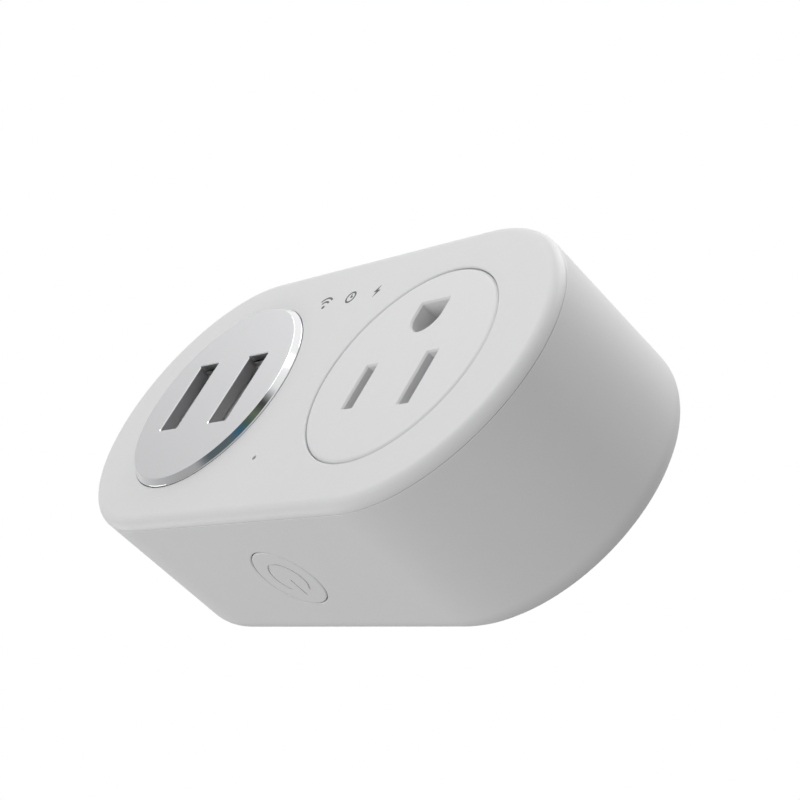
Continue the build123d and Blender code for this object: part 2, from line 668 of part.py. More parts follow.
def make_relay_yoke():
    """The relay's iron frame: the pole, the plate under the coil and the upright behind it."""
    x = (RELAY_X - YOKE_HALF_WIDTH, RELAY_X + YOKE_HALF_WIDTH)
    plate_y = (RELAY_FRAME_Y - YOKE_THICKNESS, RELAY_FRAME_Y)
    yoke = rod(RELAY_X, COIL_Z, POLE_RADIUS, POLE_TIP_Y, RELAY_FRAME_Y)
    yoke += box(x, plate_y, (YOKE_LOW_Z, YOKE_Z + YOKE_THICKNESS))
    return yoke + box(x, (ARMATURE_Y + YOKE_GAP, RELAY_FRAME_Y), (YOKE_Z, YOKE_Z + YOKE_THICKNESS))


def make_relay_armature():
    """The hinged iron plate in front of the pole."""
    x = (RELAY_X - ARMATURE_HALF_WIDTH, RELAY_X + ARMATURE_HALF_WIDTH)
    return box(x, (ARMATURE_Y - ARMATURE_THICKNESS, ARMATURE_Y), (ARMATURE_LOW_Z, YOKE_Z + YOKE_THICKNESS))


def contact_blade_z():
    """The Z of the bent part of the relay's contact blade, on its outer side."""
    return YOKE_Z + YOKE_THICKNESS + CONTACT_BEND_GAP + CONTACT_BLADE


def make_moving_contact():
    """The relay's contact blade: fixed along the armature, bent down behind the yoke."""
    x = (RELAY_X - CONTACT_BLADE_HALF, RELAY_X + CONTACT_BLADE_HALF)
    front = ARMATURE_Y - ARMATURE_THICKNESS - CONTACT_BLADE
    outer_z = contact_blade_z()
    blade = box(x, (front, front + CONTACT_BLADE), (CONTACT_BLADE_LOW_Z, outer_z))
    blade += box(x, (front, CONTACT_BLADE_BACK_Y), (outer_z - CONTACT_BLADE, outer_z))
    return blade + rod_along("Z", (RELAY_X, CONTACT_Y, outer_z), CONTACT_HEIGHT, CONTACT_RADIUS)


def make_fixed_contact():
    """The relay's fixed contact on its upright terminal."""
    x = (RELAY_X - CONTACT_BLADE_HALF, RELAY_X + CONTACT_BLADE_HALF)
    face_z = contact_blade_z() + CONTACT_HEIGHT + CONTACT_OPENING
    plate_z = face_z + CONTACT_HEIGHT
    contact = rod_along("Z", (RELAY_X, CONTACT_Y, face_z), CONTACT_HEIGHT, CONTACT_RADIUS)
    return contact + box(x, (TERMINAL_FRONT_Y, RELAY_FRAME_Y), (plate_z, plate_z + TERMINAL_SHEET))


def make_transformer():
    """The supply's flyback transformer: a taped winding between two ferrite halves."""
    window_x = (CORE_X[0] + CORE_SIDE, CORE_X[1] - CORE_SIDE)
    window_y = (CORE_FRONT_Y + CORE_LIMB, CORE_BACK_Y - CORE_LIMB)
    winding_x = (window_x[0] + WINDING_GAP, window_x[1] - WINDING_GAP)
    winding_y = (window_y[0] + WINDING_GAP, window_y[1] - WINDING_GAP)
    winding = box(winding_x, winding_y, WINDING_Z)
    core = box(CORE_X, (CORE_FRONT_Y, CORE_BACK_Y), CORE_Z)
    return {
        "transformer_core": core - box(window_x, window_y, WINDING_Z),
        "transformer_winding": fillet(winding.edges().filter_by(Axis.X), WINDING_ROUND),
        "transformer_bobbin": box(BOBBIN_FOOT_X, (CORE_BACK_Y, BOARD_FRONT_Y), WINDING_Z),
    }


def make_screw(x, z):
    """A pan-head self-tapping screw, driven from the back, with a cross recess."""
    head_y = -COUNTERBORE_DEPTH + SCREW_HEAD_HEIGHT
    head = rod(x, z, SCREW_HEAD_RADIUS, -COUNTERBORE_DEPTH, head_y)
    head = fillet(edges_at(head, head_y), SCREW_HEAD_ROUND)
    for wide, tall in ((CROSS_LENGTH, CROSS_WIDTH), (CROSS_WIDTH, CROSS_LENGTH)):
        head -= slab(Pos(x, z) * Rectangle(wide, tall), head_y - CROSS_DEPTH, head_y + PAST)
    return head + rod(x, z, SCREW_SHANK_RADIUS, -COUNTERBORE_DEPTH - SCREW_LENGTH, -COUNTERBORE_DEPTH)


def make_board_screw(x, z):
    """A small screw that holds the power board to its boss."""
    head = rod(x, z, BOARD_SCREW_HEAD_RADIUS, BOARD_FRONT_Y - BOARD_SCREW_HEAD_HEIGHT, BOARD_FRONT_Y)
    return head + rod(x, z, BOARD_SCREW_RADIUS, BOARD_FRONT_Y - JOIN, FLOOR_Y)


def make_boards():
    """The power board, the USB board on its header pins, and the button board at the case's lower wall."""
    usb_outline = Pos(USB_BOARD_X, 0) * RectangleRounded(*USB_BOARD_SIZE, USB_BOARD_ROUND)
    usb_board = slab(usb_outline, PORT_BACK_Y, PORT_BACK_Y + USB_BOARD_THICKNESS)
    pins = []
    for z in HEADER_HEIGHTS:
        usb_board -= rod(HEADER_X, z, HEADER_RADIUS + HEADER_HOLE_GAP, PORT_BACK_Y - PAST, 0)
        pins.append(rod(HEADER_X, z, HEADER_RADIUS, PORT_BACK_Y - PAST, BOARD_FRONT_Y))
    return {
        "main_board": make_main_board(),
        "usb_board": usb_board,
        "header_pins": Compound(children=pins),
        "button_board": box(
            (-BUTTON_BOARD_HALF, BUTTON_BOARD_HALF),
            (BUTTON_BOARD_FRONT_Y, BOARD_FRONT_Y),
            (SWITCH_BACK_Z, SWITCH_BACK_Z + BUTTON_BOARD_THICKNESS),
        ),
    }


def make_switch():
    """The tact switch behind the button, bored for its plunger."""
    half = SWITCH_SIZE / 2
    front_z = plunger_z() + PLUNGER_PROUD
    switch = box((-half, half), (BUTTON_Y - half, BUTTON_Y + half), (front_z, SWITCH_BACK_Z))
    bore_z = front_z - PAST
    bore = rod_along("Z", (0, BUTTON_Y, bore_z), 2 * PAST, PLUNGER_RADIUS + PLUNGER_GAP)
    return {
        "tact_switch": switch - bore,
        "tact_plunger": rod_along("Z", (0, BUTTON_Y, plunger_z()), PLUNGER_LENGTH, PLUNGER_RADIUS),
    }


def make_radio():
    """The radio board on its solder pads, with its metal shield."""
    board_y = BOARD_FRONT_Y - PAD_HEIGHT
    shield_y = board_y - RADIO_BOARD_THICKNESS
    pads = [
        on_board((x, x + PAD_LENGTH), (z - PAD_WIDTH / 2, z + PAD_WIDTH / 2), PAD_HEIGHT)
        for x in PAD_COLUMNS
        for z in PAD_ROWS
    ]
    shield_outline = Pos(SHIELD_X, 0) * RectangleRounded(*SHIELD_SIZE, SHIELD_ROUND)
    return {
        "radio_board": slab(Pos(RADIO_X, 0) * Rectangle(*RADIO_SIZE), shield_y, board_y),
        "radio_solder_pads": Compound(children=pads),
        "radio_shield": slab(shield_outline, shield_y - SHIELD_HEIGHT, shield_y),
    }


def make_components():
    """The components on the power board and the USB board, each placed by its spans or its middle."""
    usb_board_back_y = PORT_BACK_Y + USB_BOARD_THICKNESS
    fuse = rod_along("X", (-6.0, BOARD_FRONT_Y - FUSE_RADIUS - JOIN, -19.0), 9.0, FUSE_RADIUS)
    return {
        "status_led": on_board((-0.8, 0.8), (LIGHT_Z - 0.6, LIGHT_Z + 0.6), LED_HEIGHT),
        "bulk_capacitors": Compound(children=[lying_can(-26.0, z, 3.1, 13.0) for z in (4.0, 11.0)]),
        "output_capacitors": Compound(children=[lying_can(-24.0, z, 2.5, 9.0) for z in (-10.5, -4.5)]),
        "bridge_rectifier": on_board((-33.5, -29.0), (2.0, 9.0), 2.6),
        "fuse": fillet(fuse.edges().filter_by(GeomType.CIRCLE), FUSE_ROUND),
        "varistor": rod_along("X", (5.9, BOARD_FRONT_Y - 3.6, -17.4), 1.9, 3.6),
        "inductor": rod(-17.5, 18.0, 2.6, BOARD_FRONT_Y - 6.5, BOARD_FRONT_Y),
        "control_chip": on_board((-33.4, -29.2), (-5.6, -0.6), 1.5),
        "optocoupler": on_board((-13.0, -10.4), (-3.0, 1.2), 3.2),
        "usb_charge_chip": box((-24.8, -20.2), (usb_board_back_y, usb_board_back_y + 1.5), (-1.9, 1.9)),
    }


def make_parts():
    """Every piece of the plug by its node name."""
    parts = {
        "rear_housing": make_rear_housing(),
        "front_cover": make_front_cover(),
        "socket_face": make_socket_face(),
        "contact_carrier": make_contact_carrier(),
        **make_clips(),
        "line_blade": make_blade(LINE_PIN_X),
        "neutral_blade": make_blade(NEUTRAL_PIN_X),
        "ground_pin": make_ground_pin(),
        **make_conductors(),
        "usb_trim_disc": make_usb_disc(),
        "power_button": make_power_button(),
        "light_pipe": make_light_pipe(),
        "relay_case": make_relay_case(),
        "relay_base": make_relay_base(),
        "relay_coil": make_relay_coil(),
        "relay_yoke": make_relay_yoke(),
        "relay_armature": make_relay_armature(),
        "relay_moving_contact": make_moving_contact(),
        "relay_fixed_contact": make_fixed_contact(),
        **make_transformer(),
        **make_boards(),
        **make_switch(),
        **make_radio(),
        **make_components(),
        "case_screws": Compound(children=[make_screw(x, z) for x, z in screw_places()]),
        "board_screws": Compound(children=[make_board_screw(x, z) for x, z in board_screw_places()]),
    }
    for side, x in zip(("left", "right"), port_centres()):
        parts[f"usb_shell_{side}"] = make_usb_shell(x)
        parts[f"usb_tongue_{side}"] = make_usb_tongue(x)
        parts[f"usb_contacts_{side}"] = make_usb_contacts(x)
    return parts


os.makedirs("parts", exist_ok=True)
for name, shape in make_parts().items():
    export_step(shape, f"parts/{name}.step")
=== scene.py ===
from math import cos, radians, sin

import bmesh
import bpy
from mathutils import Matrix, Vector


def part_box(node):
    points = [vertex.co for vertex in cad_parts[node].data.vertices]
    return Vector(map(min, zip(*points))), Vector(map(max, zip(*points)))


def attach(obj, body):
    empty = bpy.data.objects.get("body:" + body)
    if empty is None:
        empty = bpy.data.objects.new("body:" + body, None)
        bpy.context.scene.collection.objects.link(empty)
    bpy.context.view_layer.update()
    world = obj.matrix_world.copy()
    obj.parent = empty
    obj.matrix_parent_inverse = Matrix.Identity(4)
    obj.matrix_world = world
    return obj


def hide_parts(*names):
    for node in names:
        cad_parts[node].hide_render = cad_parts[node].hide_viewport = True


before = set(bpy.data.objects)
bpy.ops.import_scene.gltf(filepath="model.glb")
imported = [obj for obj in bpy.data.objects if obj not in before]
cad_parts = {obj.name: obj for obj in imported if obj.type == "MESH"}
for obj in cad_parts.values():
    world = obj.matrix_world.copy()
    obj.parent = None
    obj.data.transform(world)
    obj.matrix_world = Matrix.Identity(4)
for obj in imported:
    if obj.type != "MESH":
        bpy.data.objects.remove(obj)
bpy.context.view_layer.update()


# Rear housing. The deep tub of the case, moulded as one piece in matt off-white plastic, with its rounded
# back, four screw bosses and the button's hole. The mains pins are held in its floor, and four screws from
# behind hold the cover to it.

MM = 0.001
BODY = "case"
OFF_WHITE = (0.800, 0.800, 0.806, 1)
housing_low, housing_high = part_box("rear_housing")
CASE_RADIUS = housing_high.z
CASE_STRAIGHT = housing_high.x - CASE_RADIUS
SEAM_Y = housing_low.y
WALL = 2.0 * MM
FLOOR_Y = -2.2 * MM
BACK_ROUND = 4.0 * MM
SEAM_ROUND = 0.12 * MM
END_STEPS = 72
ROUND_STEPS = 10
RING_STEPS = 144
SCREW_PLACES = [(sx * 40.5 * MM, sz * 9.0 * MM) for sx in (-1, 1) for sz in (-1, 1)]
BOARD_SCREW_PLACES = [(-28 * MM, 18 * MM), (-28 * MM, -18 * MM)]
MERGE = 0.001 * MM
FILLED = 0.1 * MM
BOSS_RADIUS = 2.7 * MM
BOSS_END_Y = -8.0 * MM
BOSS_STEPS = 48
HEAD_RADIUS, HEAD_END_Y, HEAD_EDGE = 2.5 * MM, -3 * MM, 0.1 * MM
SHANK_RADIUS = 1.3 * MM
POST_RADIUS, POST_END_Y = 2.2 * MM, -3.4 * MM
PILOT_RADIUS, PILOT_DEPTH = 0.8 * MM, 0.4 * MM
BUTTON_HOLE_RADIUS = 6.15 * MM
BUTTON_HOLE_EDGE = 0.12 * MM
BUTTON_HOLE_STEPS = 96
BLADE_SLOT, BLADE_SLOT_CORNER = 1.52 * MM, 0.1 * MM
GROUND_RADIUS = 2.82 * MM
PIN_EDGE, PIN_EDGE_Y = 0.2 * MM, -0.25 * MM


def middle(node):
    """The middle of a CAD node's box."""
    low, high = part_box(node)
    return (low + high) / 2


def section(mesh, centre, corners, rounds=()):
    """A wire outline of a turned wall, below its axis: corners are (radius, depth), some rounded."""
    older = set(mesh.verts)
    points = [mesh.verts.new((centre[0], depth, centre[1] - radius)) for radius, depth in corners]
    for pair in zip(points, points[1:]):
        mesh.edges.new(pair)
    round_off(mesh, [(points[number], size) for number, size in rounds])
    fresh = [v for v in mesh.verts if v not in older]
    return fresh + list({e for v in fresh for e in v.link_edges})


def round_off(mesh, points):
    """Rounds wire corners, each by its own radius."""
    for point, size in points:
        bmesh.ops.bevel(
            mesh, geom=[point], offset=size, offset_type="OFFSET", segments=ROUND_STEPS, profile=0.5,
            affect="VERTICES", material=-1,
        )


def turn(mesh, centre, outline, degrees, steps):
    """Turns an outline about an axis along Y, clockwise seen from the front, and gives its last place."""
    turned = bmesh.ops.spin(
        mesh, geom=outline, cent=(centre[0], 0, centre[1]), axis=(0, 1, 0), dvec=(0, 0, 0),
        angle=-radians(degrees), steps=steps, use_merge=(degrees == 360), use_duplicate=False,
    )
    return turned["geom_last"]


def revolve(mesh, centre, corners, rounds=(), steps=RING_STEPS):
    """A round wall from a section turned all the way."""
    turn(mesh, centre, section(mesh, centre, corners, rounds), 360, steps)


def drag(mesh, edges, offset):
    """Extrudes edges by an offset and gives the new vertices and far edges."""
    drawn = bmesh.ops.extrude_edge_only(mesh, edges=edges)["geom"]
    fresh = {v for v in drawn if isinstance(v, bmesh.types.BMVert)}
    bmesh.ops.translate(mesh, vec=offset, verts=list(fresh))
    return fresh, list({e for v in fresh for e in v.link_edges if e.other_vert(v) in fresh})


def sweep_case(mesh, corners, rounds=()):
    """A wall that follows the case's oblong outline: corners are (distance in from the outline, depth)."""
    at_end = [(CASE_RADIUS - inwards, depth) for inwards, depth in corners]
    last = section(mesh, (CASE_STRAIGHT, 0), at_end, rounds)
    for side in (1, -1):
        last = turn(mesh, (side * CASE_STRAIGHT, 0), last, 180, END_STEPS)
        edges = [e for e in last if isinstance(e, bmesh.types.BMEdge)]
        fresh, far = drag(mesh, edges, (-2 * side * CASE_STRAIGHT, 0, 0))
        last = list(fresh) + far
    bmesh.ops.remove_doubles(mesh, verts=mesh.verts, dist=MERGE)


def outline(mesh, corners, depth, rounds):
    """A closed wire round corners given as (x, z), each rounded by its own radius."""
    older = set(mesh.verts)
    points = [mesh.verts.new((x, depth, z)) for x, z in corners]
    for pair in zip(points, points[1:] + points[:1]):
        mesh.edges.new(pair)
    round_off(mesh, zip(points, rounds))
    return list({e for v in mesh.verts if v not in older for e in v.link_edges})


def oblong(mesh, centre, width, height, depth, rounding):
    """A closed rectangular wire with rounded corners."""
    corners = [
        (centre[0] + sx * width / 2, centre[1] + sz * height / 2)
        for sx, sz in ((-1, -1), (1, -1), (1, 1), (-1, 1))
    ]
    return outline(mesh, corners, depth, [rounding] * 4)


def draw_wall(mesh, wires, levels):
    """Walls from a closed wire through levels of (depth, growth beyond the wire's own outline)."""
    points = {v for e in wires for v in e.verts}
    low = Vector([min(v.co[axis] for v in points) for axis in range(3)])
    high = Vector([max(v.co[axis] for v in points) for axis in range(3)])
    size, centre, place, grown = high - low, (low + high) / 2, low.y, 0.0
    for depth, growth in levels:
        points, wires = drag(mesh, wires, (0, depth - place, 0))
        wide, tall = ((length + 2 * growth) / (length + 2 * grown) for length in (size.x, size.z))
        bmesh.ops.scale(mesh, vec=(wide, 1, tall), space=Matrix.Translation(-centre), verts=list(points))
        place, grown = depth, growth


def close_flat(mesh, level, axis=1):
    """Fills the flat area at a level between the open edges that lie there, leaving the holes open."""
    bmesh.ops.remove_doubles(mesh, verts=mesh.verts, dist=MERGE)
    rims = [
        e for e in mesh.edges
        if len(e.link_faces) < 2 and all(abs(v.co[axis] - level) < 0.002 * MM for v in e.verts)
    ]
    normal = [float(number == axis) for number in range(3)]
    bmesh.ops.triangle_fill(mesh, use_beauty=True, use_dissolve=False, edges=rims, normal=normal)


def make_piece(mesh, name, materials, nodes, body=BODY):
    """Turns a finished mesh into a piece that rides on a body and stands for its CAD nodes."""
    bmesh.ops.remove_doubles(mesh, verts=mesh.verts, dist=MERGE)
    loose = [v for v in mesh.verts if not v.link_faces]
    bmesh.ops.delete(mesh, geom=loose, context="VERTS")
    bmesh.ops.recalc_face_normals(mesh, faces=mesh.faces)
    data = bpy.data.meshes.new(name)
    mesh.to_mesh(data)
    mesh.free()
    data.shade_smooth()
    data.set_sharp_from_angle(angle=radians(32))
    for material in materials:
        data.materials.append(material)
    piece = bpy.data.objects.new(name, data)
    bpy.context.scene.collection.objects.link(piece)
    shading = piece.modifiers.new("even_shading", "WEIGHTED_NORMAL")
    shading.keep_sharp = True
    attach(piece, body)
    if nodes:
        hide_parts(*nodes)
    return piece


def new_group(name, inputs, outputs):
    """An empty shader node group with named sockets: each is (name, kind, default)."""
    group = bpy.data.node_groups.new(name, "ShaderNodeTree")
    for side, sockets in (("INPUT", inputs), ("OUTPUT", outputs)):
        for socket, kind, default in sockets:
            made = group.interface.new_socket(socket, in_out=side, socket_type="NodeSocket" + kind)
            if default is not None:
                made.default_value = default
    return group, group.nodes.new("NodeGroupInput"), group.nodes.new("NodeGroupOutput")


def add(tree, kind, links=None, **settings):
    """A shader node with its settings, and links or plain values given for its inputs."""
    node = tree.nodes.new("ShaderNode" + kind)
    for name, value in settings.items():
        setattr(node, name, value)
    for name, source in (links or {}).items():
        if isinstance(source, bpy.types.NodeSocket):
            tree.links.new(source, node.inputs[name])
        else:
            node.inputs[name].default_value = source
    return node


def noise_at(tree, cells, detail=2.0, roughness=0.5):
    """Noise in the piece's own coordinates, with the number of cells per metre along each axis."""
    place = add(tree, "TexCoord").outputs["Object"]
    scaled = add(tree, "VectorMath", {0: place, 1: cells}, operation="MULTIPLY").outputs[0]
    links = {"Vector": scaled, "Detail": detail, "Roughness": roughness, "Scale": 1.0}
    return add(tree, "TexNoise", links).outputs["Fac"]


def build_surface_group():
    """Skin of a real surface: slow shifts of tone and gloss, a fine grain, and a mask along its edges."""
    group, given, result = new_group(
        "surface_skin",
        [("Colour", "Color", OFF_WHITE), ("Shade Spread", "Float", 0.01), ("Roughness", "Float", 0.5),
         ("Gloss Spread", "Float", 0.03), ("Grain", "Vector", (9000, 9000, 9000)),
         ("Edge Radius", "Float", 0.2 * MM)],
        [("Colour", "Color", None), ("Roughness", "Float", None), ("Grain", "Float", None),
         ("Edges", "Float", None)],
    )
    slow = noise_at(group, (55, 55, 55))
    middling = noise_at(group, (420, 420, 420))
    fine = noise_at(group, given.outputs["Grain"], detail=3.0, roughness=0.6)
    shift = add(group, "Math", {0: slow, 1: middling}, operation="ADD").outputs[0]
    centred = add(group, "Math", {0: shift, 1: 1.0}, operation="SUBTRACT").outputs[0]
    tone = add(
        group, "Math", {0: centred, 1: given.outputs["Shade Spread"], 2: 1.0}, operation="MULTIPLY_ADD"
    )
    shaded = add(
        group, "VectorMath", {0: given.outputs["Colour"], "Scale": tone.outputs[0]}, operation="SCALE"
    )
    gloss = add(
        group, "Math", {0: centred, 1: given.outputs["Gloss Spread"], 2: given.outputs["Roughness"]},
        operation="MULTIPLY_ADD",
    )
    rounded = add(group, "Bevel", {"Radius": given.outputs["Edge Radius"]}, samples=4)
    flat = add(group, "NewGeometry").outputs["Normal"]
    facing = add(group, "VectorMath", {0: rounded.outputs[0], 1: flat}, operation="DOT_PRODUCT")
    edge_range = {"Value": facing.outputs["Value"], "From Min": 0.995, "From Max": 0.86}
    edges = add(group, "MapRange", edge_range)
    for name, source in (
        ("Colour", shaded.outputs[0]), ("Roughness", gloss.outputs[0]), ("Grain", fine),
        ("Edges", edges.outputs["Result"]),
    ):
        group.links.new(source, result.inputs[name])
    return group


surface_skin = build_surface_group()


def surface(name, colour, roughness, metal=0.0, shade=0.02, gloss=0.04, grain=(9000, 9000, 9000),
            depth=0.004, edge=0.15, edge_colour=None, edge_width=0.2, pattern=None, pattern_colour=None,
            pattern_depth=0.0, **settings):
    """A material with a real surface: grain, uneven gloss, an optional pattern, and lighter or worn edges.

    Depths and widths are in millimetres, and grain is in cells per metre along each axis.
    """
    material = bpy.data.materials.new(name)
    material.use_nodes = True
    tree = material.node_tree
    shader = tree.nodes["Principled BSDF"]
    skin = add(tree, "Group", node_tree=surface_skin)
    for socket, value in (
        ("Colour", (*colour[:3], 1)), ("Shade Spread", shade), ("Roughness", roughness),
        ("Gloss Spread", gloss), ("Grain", grain), ("Edge Radius", edge_width * MM),
    ):
        skin.inputs[socket].default_value = value
    worn = edge_colour or tuple(min(1.0, part * 1.12 + 0.02) for part in colour[:3])
    base, height = skin.outputs["Colour"], skin.outputs["Grain"]
    if pattern:
        drawn = pattern(tree)
        base = mix_colours(tree, drawn, base, (*pattern_colour, 1))
        ratio = pattern_depth / depth
        height = add(tree, "Math", {0: drawn, 1: ratio, 2: height}, operation="MULTIPLY_ADD").outputs[0]
    amount = add(tree, "Math", {0: skin.outputs["Edges"], 1: edge}, operation="MULTIPLY")
    tint = mix_colours(tree, amount.outputs[0], base, (*worn[:3], 1))
    tree.links.new(tint, shader.inputs["Base Color"])
    tree.links.new(skin.outputs["Roughness"], shader.inputs["Roughness"])
    bump = add(tree, "Bump", {"Height": height, "Distance": depth * MM, "Strength": 1.0})
    tree.links.new(bump.outputs["Normal"], shader.inputs["Normal"])
    shader.inputs["Metallic"].default_value = metal
    for socket, value in settings.items():
        shader.inputs[socket.replace("_", " ")].default_value = value
    return material


def mix_colours(tree, factor, first, second):
    """One colour over another by a factor."""
    mixer = tree.nodes.new("ShaderNodeMix")
    mixer.data_type = "RGBA"
    for number, source in ((0, factor), (6, first), (7, second)):
        if isinstance(source, bpy.types.NodeSocket):
            tree.links.new(source, mixer.inputs[number])
        else:
            mixer.inputs[number].default_value = source
    return mixer.outputs[2]


case_plastic = surface("matt_case_plastic", OFF_WHITE, 0.46, depth=0.0035, Specular_IOR_Level=0.4)

tub = bmesh.new()
sweep_case(
    tub,
    [(BACK_ROUND + FILLED, 0), (0, 0), (0, SEAM_Y), (WALL, SEAM_Y), (WALL, FLOOR_Y),
     (BACK_ROUND + FILLED, FLOOR_Y)],
    [(1, BACK_ROUND), (2, SEAM_ROUND), (4, BACK_ROUND - WALL)],
)
button_place = middle("power_button")
LOWER_WALL = (-CASE_RADIUS, WALL - CASE_RADIUS)
WIDE_FACE = 100 * MM * MM
for height in LOWER_WALL:
    wall = [
        f for f in tub.faces
        if abs(f.calc_center_median().z - height) < 10 * MERGE and f.calc_area() > WIDE_FACE
    ]
    bmesh.ops.delete(tub, geom=wall, context="FACES_ONLY")
hole_line = [
    tub.verts.new((0, button_place.y - radius, height))
    for radius, height in (
        (BUTTON_HOLE_RADIUS + BUTTON_HOLE_EDGE, -CASE_RADIUS),
        (BUTTON_HOLE_RADIUS, BUTTON_HOLE_EDGE - CASE_RADIUS),
        (BUTTON_HOLE_RADIUS, WALL - CASE_RADIUS),
    )
]
hole_edges = [tub.edges.new(pair) for pair in zip(hole_line, hole_line[1:])]
bmesh.ops.spin(
    tub, geom=hole_line + hole_edges, cent=(0, button_place.y, 0), axis=(0, 0, 1), dvec=(0, 0, 0),
    angle=radians(360), steps=BUTTON_HOLE_STEPS, use_merge=True, use_duplicate=False,
)
for height in LOWER_WALL:
    close_flat(tub, height, axis=2)
for place in SCREW_PLACES:
    revolve(
        tub, place,
        [(HEAD_RADIUS + HEAD_EDGE, 0), (HEAD_RADIUS, -HEAD_EDGE), (HEAD_RADIUS, HEAD_END_Y),
         (SHANK_RADIUS, HEAD_END_Y), (SHANK_RADIUS, BOSS_END_Y), (BOSS_RADIUS, BOSS_END_Y),
         (BOSS_RADIUS, FLOOR_Y)],
        steps=BOSS_STEPS,
    )
for place in BOARD_SCREW_PLACES:
    revolve(
        tub, place,
        [(0, FLOOR_Y + PILOT_DEPTH), (PILOT_RADIUS, FLOOR_Y + PILOT_DEPTH), (PILOT_RADIUS, POST_END_Y),
         (POST_RADIUS, POST_END_Y), (POST_RADIUS, FLOOR_Y)],
        steps=BOSS_STEPS,
    )
for node in ("line_blade", "neutral_blade"):
    blade_low, blade_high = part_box(node)
    centre = (middle(node).x, middle(node).z)
    hole = oblong(tub, centre, BLADE_SLOT, blade_high.z - blade_low.z, FLOOR_Y, BLADE_SLOT_CORNER)
    draw_wall(tub, hole, [(PIN_EDGE_Y, 0), (0, PIN_EDGE)])
ground_centre = (middle("ground_pin").x, middle("ground_pin").z)
revolve(
    tub, ground_centre,
    [(GROUND_RADIUS, FLOOR_Y), (GROUND_RADIUS, PIN_EDGE_Y), (GROUND_RADIUS + PIN_EDGE, 0)], steps=64,
)
for depth in (0, FLOOR_Y):
    close_flat(tub, depth)
make_piece(tub, "housing_tub", [case_plastic], ["rear_housing"])


# Front cover. The face of the case, moulded in the same plastic with a rounded edge, a round seat for the
# socket, a shallow recess for the metal disc and a pinhole for the light. Its rim plugs into the tub, and its
# four posts take the case screws.

FACE_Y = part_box("front_cover")[0].y
COVER_SEAM_Y = SEAM_Y - 0.06 * MM
SKIN_Y = FACE_Y + WALL
LEDGE_Y = FACE_Y + 1.2 * MM
RECESS_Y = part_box("usb_trim_disc")[1].y
FACE_ROUND = 1.6 * MM
RIM_IN = WALL + 0.1 * MM
RIM_BACK = RIM_IN + 1.2 * MM
RIM_END_Y = COVER_SEAM_Y + 2.4 * MM
SEAT_RADIUS = 17.0 * MM
LEDGE_RADIUS = 15.8 * MM
RECESS_RADIUS = 17.6 * MM
PINHOLE_RADIUS = 0.4 * MM
PIPE_RADIUS = 1.05 * MM
PINHOLE_STEPS = 32
SEAT_EDGE = 0.25 * MM
PORT_HOLE, PORT_HOLE_CORNER = (5.9 * MM, 13.3 * MM), 0.9 * MM
SCREW_RADIUS = 1.0 * MM
SCREW_END_Y = -20 * MM
SOCKET = (middle("socket_face").x, 0)
DISC = (middle("usb_trim_disc").x, 0)
PORTS = {side: (middle(f"usb_shell_{side}").x, 0) for side in ("left", "right")}
PINHOLE = (middle("light_pipe").x, middle("light_pipe").z)

cover = bmesh.new()
sweep_case(
    cover,
    [(FACE_ROUND + FILLED, FACE_Y), (0, FACE_Y), (0, COVER_SEAM_Y), (RIM_IN, COVER_SEAM_Y),
     (RIM_IN, RIM_END_Y), (RIM_BACK, RIM_END_Y), (RIM_BACK, SKIN_Y)],
    [(1, FACE_ROUND), (2, SEAM_ROUND)],
)
revolve(
    cover, SOCKET,
    [(SEAT_RADIUS + 3 * FILLED, FACE_Y), (SEAT_RADIUS, FACE_Y), (SEAT_RADIUS, LEDGE_Y),
     (LEDGE_RADIUS, LEDGE_Y), (LEDGE_RADIUS, SKIN_Y)],
    [(1, SEAT_EDGE)],
)
revolve(cover, DISC, [(RECESS_RADIUS, FACE_Y), (RECESS_RADIUS, RECESS_Y)])
for port in PORTS.values():
    hole = oblong(cover, port, *PORT_HOLE, RECESS_Y, PORT_HOLE_CORNER)
    draw_wall(cover, hole, [(SKIN_Y, 0)])
revolve(
    cover, PINHOLE,
    [(PINHOLE_RADIUS, FACE_Y), (PINHOLE_RADIUS, LEDGE_Y), (PIPE_RADIUS, LEDGE_Y), (PIPE_RADIUS, SKIN_Y)],
    steps=PINHOLE_STEPS,
)
for place in SCREW_PLACES:
    revolve(
        cover, place,
        [(BOSS_RADIUS, SKIN_Y), (BOSS_RADIUS, BOSS_END_Y), (SCREW_RADIUS, BOSS_END_Y),
         (SCREW_RADIUS, SCREW_END_Y), (0, SCREW_END_Y)],
        steps=BOSS_STEPS,
    )
for depth in (FACE_Y, RECESS_Y, SKIN_Y):
    close_flat(cover, depth)
make_piece(cover, "case_face", [case_plastic], ["front_cover"])


# Socket face. A round insert of slightly denser white plastic, flush with the case and divided from it by a
# fine groove. It has two blade slots and the ground hole, each with a small bevelled lead-in.

SOCKET_WHITE = (0.790, 0.790, 0.797, 1)
INSERT_RADIUS = SEAT_RADIUS - 0.04 * MM
SPIGOT_RADIUS = LEDGE_RADIUS - 0.1 * MM
SPIGOT_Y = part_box("socket_face")[1].y
INSERT_ROUND = 0.7 * MM
LEAD_IN = 0.25 * MM
SLOT_WIDTH = 2.2 * MM
SLOT_HEIGHTS = {"line_contact": 7.5 * MM, "neutral_contact": 8.8 * MM}
SLOT_CORNER = 0.1 * MM
GROUND_HALF = 3.0 * MM
GROUND_FLAT = 2.5 * MM
GROUND_ROUND = GROUND_HALF * 0.998
GROUND_CORNER = 0.25 * MM

